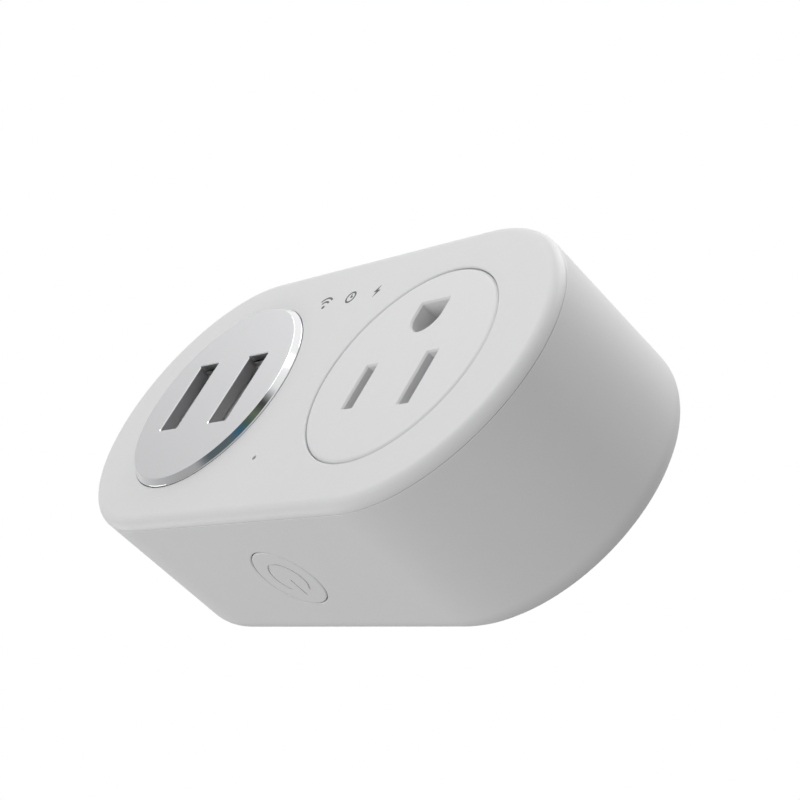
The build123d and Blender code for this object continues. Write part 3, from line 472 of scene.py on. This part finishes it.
socket_plastic = surface("satin_socket_plastic", SOCKET_WHITE, 0.40, depth=0.002)
insert = bmesh.new()
revolve(
    insert, SOCKET,
    [(INSERT_RADIUS - INSERT_ROUND - FILLED, FACE_Y), (INSERT_RADIUS, FACE_Y), (INSERT_RADIUS, LEDGE_Y),
     (SPIGOT_RADIUS, LEDGE_Y), (SPIGOT_RADIUS, SPIGOT_Y)],
    [(1, INSERT_ROUND)],
)
entries = [
    oblong(insert, (middle(node).x, middle(node).z), SLOT_WIDTH, height, SPIGOT_Y, SLOT_CORNER)
    for node, height in SLOT_HEIGHTS.items()
]
ground_x, ground_z = middle("ground_contact").x, middle("ground_contact").z
ground_corners = [
    (ground_x + sx * GROUND_HALF, ground_z + rise)
    for sx, rise in ((-1, -GROUND_HALF), (1, -GROUND_HALF), (1, GROUND_FLAT), (-1, GROUND_FLAT))
]
ground_rounds = [GROUND_ROUND, GROUND_ROUND, GROUND_CORNER, GROUND_CORNER]
entries.append(outline(insert, ground_corners, SPIGOT_Y, ground_rounds))
for entry in entries:
    draw_wall(insert, entry, [(FACE_Y + LEAD_IN, 0), (FACE_Y, LEAD_IN)])
for depth in (FACE_Y, SPIGOT_Y):
    close_flat(insert, depth)
make_piece(insert, "socket_insert", [socket_plastic], ["socket_face"])


# Trim disc. Turned from aluminium: a satin face, a polished bevel cut round it with a diamond tool, and two
# upright openings for the USB ports. It stands 1 mm proud of the case and is glued in its recess.

SATIN_GREY = (0.585, 0.585, 0.595, 1)
POLISHED_GREY = (0.86, 0.865, 0.875, 1)
DISC_RADIUS = 17.5 * MM
DISC_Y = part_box("usb_trim_disc")[0].y
BEVEL = 0.8 * MM
OPENING = (5.1 * MM, 13.1 * MM)
OPENING_CORNER = 0.35 * MM
OPENING_EDGE = 0.12 * MM
BEVEL_ROUND, RIM_ROUND = 0.06 * MM, 0.08 * MM
DISC_BACK_IN = 0.5 * MM

satin_metal = surface(
    "satin_aluminium", SATIN_GREY, 0.48, metal=1.0, shade=0.012, gloss=0.03, grain=(16000, 16000, 16000),
    depth=0.0025, edge=0.25,
)
polished_metal = surface(
    "polished_bevel", POLISHED_GREY, 0.07, metal=1.0, shade=0.01, gloss=0.02, grain=(9000, 9000, 9000),
    depth=0.0002, edge=0.0,
)
trim = bmesh.new()
revolve(
    trim, DISC,
    [(DISC_RADIUS - BEVEL - 2 * FILLED, DISC_Y), (DISC_RADIUS - BEVEL, DISC_Y),
     (DISC_RADIUS, DISC_Y + BEVEL), (DISC_RADIUS, RECESS_Y), (DISC_RADIUS - DISC_BACK_IN, RECESS_Y)],
    [(1, BEVEL_ROUND), (2, RIM_ROUND)],
)
for port in PORTS.values():
    opening = oblong(trim, port, *OPENING, RECESS_Y, OPENING_CORNER)
    draw_wall(trim, opening, [(DISC_Y + OPENING_EDGE, 0), (DISC_Y, OPENING_EDGE)])
for depth in (DISC_Y, RECESS_Y):
    close_flat(trim, depth)
for face in trim.faces:
    place = face.calc_center_median()
    out = Vector((place.x - DISC[0], place.z - DISC[1])).length
    on_edge = DISC_Y + 10 * MERGE < place.y < DISC_Y + OPENING_EDGE
    face.material_index = int(out > DISC_RADIUS - BEVEL or on_edge)
make_piece(trim, "trim_disc", [satin_metal, polished_metal], ["usb_trim_disc"])


# USB shells. Each port is a box folded from nickel-plated sheet steel. At both of its short ends a tab runs
# forward into the disc's opening and flares out there to guide the plug.

NICKEL = (0.82, 0.82, 0.832, 1)
SHEET = 0.3 * MM
SHELL_CORNER = 0.8 * MM
TAB_ROOT = 0.2 * MM
TAB_SHEET = 0.25 * MM
TAB_WIDTH = 4.4 * MM
TAB_FLARE = 0.115
TAB_FROM_MIDDLE = 6.05 * MM
TAB_STRAIGHT = 1.05 * MM
TAB_BEND_RADIUS = 1.0 * MM
TAB_BEND = 60.0
TAB_STEPS = 12

nickel = surface(
    "nickel_plate", NICKEL, 0.16, metal=1.0, shade=0.03, gloss=0.06, grain=(2500, 2500, 15000), depth=0.0006,
    edge=0.3,
)
for side, port in PORTS.items():
    shell_low, shell_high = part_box(f"usb_shell_{side}")
    width, height = shell_high.x - shell_low.x, shell_high.z - shell_low.z
    shell = bmesh.new()
    for inwards in (0, SHEET):
        back = shell_high.y - inwards
        mouth = oblong(
            shell, port, width - 2 * inwards, height - 2 * inwards, shell_low.y, SHELL_CORNER - inwards
        )
        draw_wall(shell, mouth, [(back, 0)])
        close_flat(shell, back)
    close_flat(shell, shell_low.y)
    for end in (-1, 1):
        tab_z = end * TAB_FROM_MIDDLE
        older = set(shell.verts)
        root_y, bend_y = shell_low.y + TAB_ROOT, shell_low.y - TAB_STRAIGHT
        corners = [
            shell.verts.new((port[0] + sx * TAB_WIDTH / 2, root_y, tab_z + end * outer))
            for sx, outer in ((-1, 0), (1, 0), (1, TAB_SHEET), (-1, TAB_SHEET))
        ]
        loop = [shell.edges.new(pair) for pair in zip(corners, corners[1:] + corners[:1])]
        far = drag(shell, loop, (0, bend_y - root_y, 0))[1]
        bmesh.ops.spin(
            shell, geom=far, cent=(0, bend_y, tab_z + end * TAB_BEND_RADIUS), axis=(1, 0, 0),
            dvec=(0, 0, 0), angle=end * radians(TAB_BEND), steps=TAB_STEPS, use_duplicate=False,
        )
        for v in shell.verts:
            if v not in older and v.co.y < bend_y:
                share = (bend_y - v.co.y) / (TAB_BEND_RADIUS * sin(radians(TAB_BEND)))
                v.co.x = port[0] + (v.co.x - port[0]) * (1 + TAB_FLARE * share)
    rims = [e for e in shell.edges if len(e.link_faces) == 1]
    bmesh.ops.holes_fill(shell, edges=rims, sides=0)
    make_piece(shell, f"port_shell_{side}", [nickel], [f"usb_shell_{side}"])


# Power button. A round cap of the case's plastic, flush with the wall and loose in its hole, with the standby
# sign engraved in it. A flange inside keeps it from falling out, and its stem presses the tact switch.

BUTTON_WHITE = (0.795, 0.795, 0.802, 1)
CAP_RADIUS = 6.0 * MM
CAP_ROUND = 0.2 * MM
FLANGE_RADIUS = 7.0 * MM
FLANGE_DEPTH = (2.05 * MM, 3.05 * MM)
STEM_RADIUS = 2.0 * MM
SIGN_RADIUS = 3.3 * MM
SIGN_LINE = 0.3 * MM
SIGN_DEPTH = 0.2 * MM
BAR_CORNER = SIGN_LINE * 0.45
SIGN_GAP = 38.0
BAR_FROM = 0.33 * MM
BAR_TO = 3.96 * MM

button_plastic = surface("matt_button_plastic", BUTTON_WHITE, 0.46, depth=0.0035, Specular_IOR_Level=0.4)
cap_low, cap_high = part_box("power_button")
cap = bmesh.new()
arc = section(
    cap, (0, 0), [(SIGN_RADIUS - SIGN_LINE / 2, SIGN_DEPTH), (SIGN_RADIUS + SIGN_LINE / 2, SIGN_DEPTH)]
)
bmesh.ops.rotate(cap, cent=(0, 0, 0), matrix=Matrix.Rotation(-radians(SIGN_GAP), 3, "Y"), verts=cap.verts)
turn(cap, (0, 0), arc, 360 - 2 * SIGN_GAP, END_STEPS)
drag(cap, [e for e in cap.edges if len(e.link_faces) == 1], (0, -SIGN_DEPTH, 0))
bar = oblong(cap, (0, -(BAR_FROM + BAR_TO) / 2), SIGN_LINE, BAR_TO - BAR_FROM, SIGN_DEPTH, BAR_CORNER)
draw_wall(cap, bar, [(0, 0)])
close_flat(cap, SIGN_DEPTH)
revolve(
    cap, (0, 0),
    [(CAP_RADIUS - CAP_ROUND - FILLED, 0), (CAP_RADIUS, 0), (CAP_RADIUS, FLANGE_DEPTH[0]),
     (FLANGE_RADIUS, FLANGE_DEPTH[0]), (FLANGE_RADIUS, FLANGE_DEPTH[1]), (STEM_RADIUS, FLANGE_DEPTH[1]),
     (STEM_RADIUS, cap_high.z - cap_low.z), (0, cap_high.z - cap_low.z)],
    [(1, CAP_ROUND)],
)
close_flat(cap, 0)
bmesh.ops.rotate(cap, cent=(0, 0, 0), matrix=Matrix.Rotation(radians(90), 3, "X"), verts=cap.verts)
bmesh.ops.translate(cap, vec=(0, middle("power_button").y, cap_low.z), verts=cap.verts)
make_piece(cap, "button_cap", [button_plastic], ["power_button"], body="button")


# Printed signs. Three small general signs, pad-printed in dark grey ink near the face's upper edge: a radio
# signal, a timer's clock and a charging flash.

INK_GREY = (0.060, 0.062, 0.066, 1)
INK_Y = FACE_Y - 0.012 * MM
INK_SUNK = 0.03 * MM
SIGN_Z = 16.15 * MM
SIGNAL_X, CLOCK_X, FLASH_X = -7.2 * MM, -0.8 * MM, 5.6 * MM
INK_LINE = 0.34 * MM
INK_CORNER = 0.04 * MM
ARC_STEPS = 40
WAVES, WAVE_GAP, WAVE_DROP = (2.1 * MM, 1.35 * MM), 268, 0.95 * MM
SOURCE_RADIUS, SOURCE_DROP = 0.33 * MM, 0.85 * MM
CLOCK_RADIUS = 1.15 * MM
HAND_LINE = 0.26 * MM
HANDS = ((0.62 * MM, HAND_LINE), (HAND_LINE, 0.72 * MM))
FLASH = ((0.35, 1.2), (-0.75, -0.12), (-0.1, -0.12), (-0.35, -1.2), (0.75, 0.2), (0.1, 0.2))


def ink_arc(mesh, centre, radius, gap):
    """A printed arc, open below by a gap in degrees, or a whole ring or dot where the gap is 0."""
    inner = max(0, radius - INK_LINE)
    line = section(mesh, centre, [(inner, INK_Y), (radius, INK_Y)])
    points = [v for v in line if isinstance(v, bmesh.types.BMVert)]
    about = (centre[0], 0, centre[1])
    bmesh.ops.rotate(mesh, cent=about, matrix=Matrix.Rotation(-radians(gap / 2), 3, "Y"), verts=points)
    turn(mesh, centre, line, 360 - gap, ARC_STEPS)


def ink_shape(mesh, corners):
    """A printed flat shape with straight sides."""
    loop = outline(mesh, corners, INK_Y, [INK_CORNER] * len(corners))
    bmesh.ops.triangle_fill(mesh, use_beauty=True, use_dissolve=False, edges=loop, normal=(0, -1, 0))


ink = surface("printed_ink", INK_GREY, 0.42, shade=0.10, gloss=0.08, grain=(6000, 6000, 6000), depth=0.002)
signs = bmesh.new()
for radius in WAVES:
    ink_arc(signs, (SIGNAL_X, SIGN_Z - WAVE_DROP), radius, WAVE_GAP)
ink_arc(signs, (SIGNAL_X, SIGN_Z - SOURCE_DROP), SOURCE_RADIUS, 0)
ink_arc(signs, (CLOCK_X, SIGN_Z), CLOCK_RADIUS, 0)
for wide, tall in HANDS:
    left, low = CLOCK_X - HAND_LINE / 2, SIGN_Z - HAND_LINE / 2
    ink_shape(signs, [(left, low), (left + wide, low), (left + wide, low + tall), (left, low + tall)])
ink_shape(signs, [(FLASH_X + x * MM, SIGN_Z + z * MM) for x, z in FLASH])
bmesh.ops.remove_doubles(signs, verts=signs.verts, dist=MERGE)
sunk = bmesh.ops.extrude_face_region(signs, geom=signs.faces[:])["geom"]
bmesh.ops.translate(
    signs, vec=(0, INK_SUNK, 0), verts=[v for v in sunk if isinstance(v, bmesh.types.BMVert)]
)
make_piece(signs, "printed_signs", [ink], [])


# Mains pins. The line and neutral blades are stamped from brass strip, and the ground pin is turned from
# brass rod. All three are thinly plated and held in the tub's floor.

PLATED_BRASS = (0.66, 0.60, 0.47, 1)
ALONG_Y = (9000, 350, 9000)


def finish(material, *nodes):
    """Gives CAD nodes that show as they are their material."""
    for node in nodes:
        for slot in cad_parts[node].material_slots:
            slot.material = material


plated_brass = surface(
    "plated_brass", PLATED_BRASS, 0.24, metal=1.0, shade=0.06, gloss=0.08, grain=ALONG_Y, depth=0.0015,
    edge=0.35, edge_colour=(0.74, 0.62, 0.40),
)
turned_brass = surface(
    "turned_brass", PLATED_BRASS, 0.21, metal=1.0, shade=0.05, gloss=0.07, grain=(350, 12000, 350),
    depth=0.0012, edge=0.3, edge_colour=(0.74, 0.62, 0.40),
)
finish(plated_brass, "line_blade", "neutral_blade")
finish(turned_brass, "ground_pin")


# Socket contacts. Three clips of bare spring bronze in a nylon carrier behind the socket face. Flat brass
# straps join them to the pins, and a brass lead joins the line clip to the relay.

bronze = surface(
    "spring_bronze", (0.66, 0.43, 0.22), 0.30, metal=1.0, shade=0.10, gloss=0.10, grain=ALONG_Y, depth=0.002,
    edge=0.4,
)
strip_brass = surface(
    "brass_strip", (0.72, 0.55, 0.27), 0.32, metal=1.0, shade=0.08, gloss=0.10, grain=(350, 9000, 9000),
    depth=0.002, edge=0.4,
)
nylon = surface("natural_nylon", (0.72, 0.71, 0.66), 0.52, shade=0.03, depth=0.005, Subsurface_Weight=0.05)
finish(
    bronze, "line_contact", "neutral_contact", "ground_contact", "relay_fixed_contact", "relay_moving_contact"
)
finish(strip_brass, "neutral_strap", "ground_strap", "load_lead")
finish(nylon, "contact_carrier")


# USB tongues. A white nylon tongue in each port, with four gold-plated contact strips let into its face.

tongue_nylon = surface("tongue_nylon", (0.74, 0.74, 0.73), 0.45, shade=0.02, depth=0.003)
gold = surface(
    "gold_plate", (0.83, 0.62, 0.24), 0.20, metal=1.0, shade=0.05, gloss=0.06, grain=ALONG_Y, depth=0.0008
)
finish(tongue_nylon, "usb_tongue_left", "usb_tongue_right")
finish(gold, "usb_contacts_left", "usb_contacts_right", "header_pins")


# Boards. Glass-fibre boards under green solder mask, with the tracks showing as lighter lines, and a small
# radio board soldered on under a tinned steel can.


def build_track_group():
    """Copper tracks under a board's solder mask: a mask of narrow lines laid out in steps."""
    group, given, result = new_group(
        "board_tracks", [("Pitch", "Float", 260.0), ("Line", "Float", 0.18)], [("Tracks", "Float", None)]
    )
    place = add(group, "TexCoord").outputs["Object"]
    turned = add(group, "Mapping", {"Vector": place, "Rotation": (radians(90), 0, 0)}).outputs[0]
    lines = add(
        group, "TexBrick",
        {"Vector": turned, "Scale": given.outputs["Pitch"], "Mortar Size": given.outputs["Line"],
         "Mortar Smooth": 0.1, "Brick Width": 2.6, "Row Height": 0.7},
        offset=0.35,
    )
    group.links.new(lines.outputs["Fac"], result.inputs["Tracks"])
    return group


track_group = build_track_group()


def tracks(tree):
    """The track mask placed in a board's material."""
    return add(tree, "Group", node_tree=track_group).outputs["Tracks"]


solder_mask = surface(
    "green_solder_mask", (0.012, 0.11, 0.045), 0.30, shade=0.10, gloss=0.06, depth=0.003,
    pattern=tracks, pattern_colour=(0.03, 0.24, 0.09), pattern_depth=0.03, edge_colour=(0.45, 0.42, 0.25),
)
tinned_steel = surface(
    "tinned_steel", (0.62, 0.62, 0.61), 0.28, metal=1.0, shade=0.06, gloss=0.08, grain=(6000, 6000, 500),
    depth=0.001,
)
bright_solder = surface(
    "bright_solder", (0.66, 0.67, 0.69), 0.20, metal=1.0, shade=0.08, gloss=0.10, grain=(5000, 5000, 5000),
    depth=0.01,
)
finish(solder_mask, "main_board", "usb_board", "button_board", "radio_board")
finish(tinned_steel, "radio_shield")
finish(bright_solder, "radio_solder_pads")


# Tact switch. A small black nylon switch that the button's stem presses, with its plunger.

black_nylon = surface("black_nylon", (0.018, 0.018, 0.020), 0.48, shade=0.12, depth=0.004)
finish(black_nylon, "tact_switch", "tact_plunger", "relay_base", "transformer_bobbin")


# Status light. A tiny clear lamp on the power board and the smoked acrylic rod that brings its light to the
# pinhole. The rod's tip is set back, so the hole stays dark while the light is off.

acrylic = surface("smoked_acrylic", (0.020, 0.020, 0.022), 0.12, shade=0.04, depth=0.001, IOR=1.49)
lamp = surface("clear_lamp", (0.80, 0.78, 0.55), 0.15, shade=0.04, depth=0.001, Coat_Weight=0.5)
finish(acrylic, "light_pipe")
finish(lamp, "status_led")


# Relay. A copper coil on an iron frame under a blue moulded cover. Its hinged armature carries a bronze blade
# that closes the contacts.


def build_turns_group():
    """Wire or tape laid in turns: a ridge for each turn, with a little unevenness."""
    group, given, result = new_group(
        "laid_turns", [("Direction", "Vector", (0, 1, 0)), ("Pitch", "Float", 4000.0)],
        [("Ridges", "Float", None)],
    )
    place = add(group, "TexCoord").outputs["Object"]
    along = add(group, "VectorMath", {0: place, 1: given.outputs["Direction"]}, operation="DOT_PRODUCT")
    uneven = noise_at(group, (900, 900, 900))
    turns = add(
        group, "Math", {0: along.outputs["Value"], 1: given.outputs["Pitch"], 2: uneven},
        operation="MULTIPLY_ADD",
    )
    ridge = add(group, "Math", {0: turns.outputs[0], 1: 1.0}, operation="PINGPONG")
    group.links.new(ridge.outputs[0], result.inputs["Ridges"])
    return group


turns_group = build_turns_group()


def turns_along(direction, pitch):
    """Gives the mask of turns laid across a direction, with a number of turns per metre."""

    def place_turns(tree):
        turns = add(tree, "Group", {"Direction": direction, "Pitch": pitch}, node_tree=turns_group)
        return turns.outputs["Ridges"]

    return place_turns


relay_blue = surface("relay_blue_cover", (0.010, 0.055, 0.24), 0.22, shade=0.05, depth=0.003)
zinc_iron = surface(
    "zinc_plated_iron", (0.50, 0.50, 0.52), 0.34, metal=1.0, shade=0.12, gloss=0.10, grain=(4000, 4000, 900),
    depth=0.003,
)
copper = surface(
    "enamelled_copper", (0.55, 0.19, 0.06), 0.26, metal=1.0, shade=0.06, depth=0.001,
    pattern=turns_along((0, 1, 0), 9000.0), pattern_colour=(0.68, 0.27, 0.09), pattern_depth=0.05,
)
finish(relay_blue, "relay_case")
finish(zinc_iron, "relay_yoke", "relay_armature")
finish(copper, "relay_coil")


# Transformer. Two halves of dark sintered ferrite round a winding under amber polyester tape.

ferrite = surface(
    "sintered_ferrite", (0.030, 0.030, 0.032), 0.55, shade=0.25, grain=(5000, 5000, 5000), depth=0.012
)
tape = surface(
    "amber_tape", (0.66, 0.37, 0.03), 0.22, shade=0.05, depth=0.001,
    pattern=turns_along((0, 0, 1), 120.0), pattern_colour=(0.74, 0.46, 0.06), pattern_depth=0.02,
)
finish(ferrite, "transformer_core")
finish(tape, "transformer_winding")


# Power board parts. Sleeved capacitors, moulded chips, a fusible resistor, a dipped varistor and a choke, all
# soldered to the power board, and the charging chip on the USB board.

can_sleeve = surface(
    "capacitor_sleeve", (0.020, 0.022, 0.030), 0.30, shade=0.08, depth=0.002,
    pattern=turns_along((0, 0, 1), 90.0), pattern_colour=(0.05, 0.055, 0.07), pattern_depth=0.0,
)
epoxy = surface("chip_epoxy", (0.014, 0.014, 0.015), 0.44, shade=0.15, grain=(7000, 7000, 7000), depth=0.006)
fuse_paint = surface("resistor_paint", (0.07, 0.25, 0.11), 0.46, shade=0.10, depth=0.006)
dipped_blue = surface(
    "dipped_coat", (0.012, 0.05, 0.20), 0.38, shade=0.12, grain=(2200, 2200, 2200), depth=0.02
)
sleeve = surface(
    "shrink_sleeve", (0.020, 0.020, 0.020), 0.40, shade=0.10, grain=(3000, 3000, 3000), depth=0.01
)
finish(can_sleeve, "bulk_capacitors", "output_capacitors")
finish(epoxy, "bridge_rectifier", "control_chip", "optocoupler", "usb_charge_chip")
finish(fuse_paint, "fuse")
finish(dipped_blue, "varistor")
finish(sleeve, "inductor")


# Screws. Zinc-plated steel: four long ones that close the case from behind, and two short ones for the board.

zinc_steel = surface(
    "zinc_plated_steel", (0.52, 0.53, 0.56), 0.30, metal=1.0, shade=0.10, gloss=0.10,
    grain=(3500, 3500, 3500), depth=0.003, edge=0.4,
)
finish(zinc_steel, "case_screws", "board_screws")


# Camera. It stands low at the socket end and looks up along the face, with a long lens and all of it sharp.
# The picture is kept as the lamps make it, with no tone curve.

LENS = 83.48
NEAREST = 0.01
CAMERA_PLACE = (0.21676, -0.13212, -0.11459)
CAMERA_TURN = (120.092, -26.855, 46.659)
camera_data = bpy.data.cameras.new("camera")
camera_data.lens = LENS
camera_data.clip_start = NEAREST
camera = bpy.data.objects.new("camera", camera_data)
camera.location = CAMERA_PLACE
camera.rotation_euler = [radians(angle) for angle in CAMERA_TURN]
scene = bpy.context.scene
scene.collection.objects.link(camera)
scene.camera = camera
scene.view_settings.view_transform = "Standard"


# Light and floor. A studio with soft square lamps above, in front, at both sides and low down, and a plain
# pale floor well below them. The walls are pale and darker behind the plug, and a dark doorway with bluish
# and green tones stands in front, seen only in reflections. Each lamp has its place, its width and its watts.

LAMPS = {
    "overhead_lamp": ((0, 0, 1.3), 0.8, 6.8),
    "front_lamp": ((0, -1.2, 0.8), 0.8, 3.8),
    "left_front_lamp": ((-0.8, -0.9, 0.9), 0.8, 3.5),
    "left_lamp": ((-1.2, -0.2, 0.4), 0.7, 1.2),
    "left_low_lamp": ((-1.1, 0.0, -0.6), 0.6, 2.3),
    "under_lamp": ((0, -0.45, -1.2), 0.6, 4.0),
    "right_back_lamp": ((1.1, 0.5, 0.6), 0.5, 1.6),
}
UNMIRRORED = ("left_lamp", "under_lamp")
AIM = Vector((0, middle("front_cover").y, 0))
for name, (place, size, watts) in LAMPS.items():
    lamp_data = bpy.data.lights.new(name, "AREA")
    lamp_data.size = size
    lamp_data.energy = watts
    lamp_object = bpy.data.objects.new(name, lamp_data)
    lamp_object.location = place
    lamp_object.rotation_euler = (AIM - Vector(place)).to_track_quat("-Z", "Y").to_euler()
    lamp_object.visible_camera = False
    lamp_object.visible_glossy = name not in UNMIRRORED
    scene.collection.objects.link(lamp_object)

FLOOR_DROP = 2.0
FLOOR_SIZE = 30
FLOOR_GLOW = 0.35
floor_mesh = bmesh.new()
bmesh.ops.create_grid(floor_mesh, size=FLOOR_SIZE)
floor_data = bpy.data.meshes.new("studio_floor")
floor_mesh.to_mesh(floor_data)
floor_mesh.free()
floor_data.transform(Matrix.Translation((0, 0, -FLOOR_DROP)))
floor_data.materials.append(
    surface(
        "pale_floor", (0.88, 0.88, 0.88, 1), 0.85, grain=(40, 40, 40), depth=0.002,
        Emission_Color=(1, 1, 1, 1), Emission_Strength=FLOOR_GLOW,
    )
)
studio_floor = bpy.data.objects.new("studio_floor", floor_data)
scene.collection.objects.link(studio_floor)
studio_floor.visible_diffuse = False
studio_floor.visible_glossy = False

FRONT_WALL = 0.47
BACK_WALL = 0.20
MIRRORED_LOW = 0.35
MIRRORED_HIGH = 1.0
DOOR_AZIMUTH = radians(8)
DOOR_ELEVATION = radians(-12)
DOOR_INNER = cos(radians(24))
DOOR_OUTER = cos(radians(38))
DOOR_TONES = (
    (0.30, (0.10, 0.13, 0.14, 1)), (0.36, (0.04, 0.12, 0.19, 1)), (0.42, (0.07, 0.11, 0.09, 1)),
    (0.48, (0.12, 0.15, 0.10, 1)), (0.56, (0.05, 0.05, 0.05, 1)),
)
door_place = (
    sin(DOOR_AZIMUTH) * cos(DOOR_ELEVATION), -cos(DOOR_AZIMUTH) * cos(DOOR_ELEVATION), sin(DOOR_ELEVATION),
)
world = bpy.data.worlds.new("studio_walls")
world.use_nodes = True
scene.world = world
walls = world.node_tree
walls.nodes.clear()
direction = add(walls, "TexCoord").outputs["Generated"]
sides = add(walls, "SeparateXYZ", {"Vector": direction}).outputs
plain = add(
    walls, "MapRange",
    {"Value": sides["Y"], "From Min": -0.4, "From Max": 0.6, "To Min": FRONT_WALL, "To Max": BACK_WALL},
    interpolation_type="SMOOTHSTEP",
).outputs["Result"]
level = add(
    walls, "MapRange",
    {"Value": sides["Z"], "From Min": -0.7, "From Max": 0.7, "To Min": MIRRORED_LOW, "To Max": MIRRORED_HIGH},
).outputs["Result"]
nearness = add(
    walls, "VectorMath", {0: direction, 1: door_place}, operation="DOT_PRODUCT"
).outputs["Value"]
doorway = add(
    walls, "MapRange", {"Value": nearness, "From Min": DOOR_OUTER, "From Max": DOOR_INNER},
    interpolation_type="SMOOTHSTEP",
).outputs["Result"]
height = add(
    walls, "MapRange", {"Value": sides["Z"], "From Min": -1.0, "From Max": 1.0}
).outputs["Result"]
tones = add(walls, "ValToRGB", {"Fac": height})
while len(tones.color_ramp.elements) < len(DOOR_TONES):
    tones.color_ramp.elements.new(1.0)
for stop, (place, colour) in zip(tones.color_ramp.elements, DOOR_TONES):
    stop.position = place
    stop.color = colour
mirrored = mix_colours(walls, doorway, level, tones.outputs["Color"])
rays = add(walls, "LightPath").outputs
unseen = mix_colours(walls, rays["Is Glossy Ray"], plain, mirrored)
shown = mix_colours(walls, rays["Is Camera Ray"], unseen, (1, 1, 1, 1))
background = add(walls, "Background", {"Color": shown})
add(walls, "OutputWorld", {"Surface": background.outputs["Background"]})
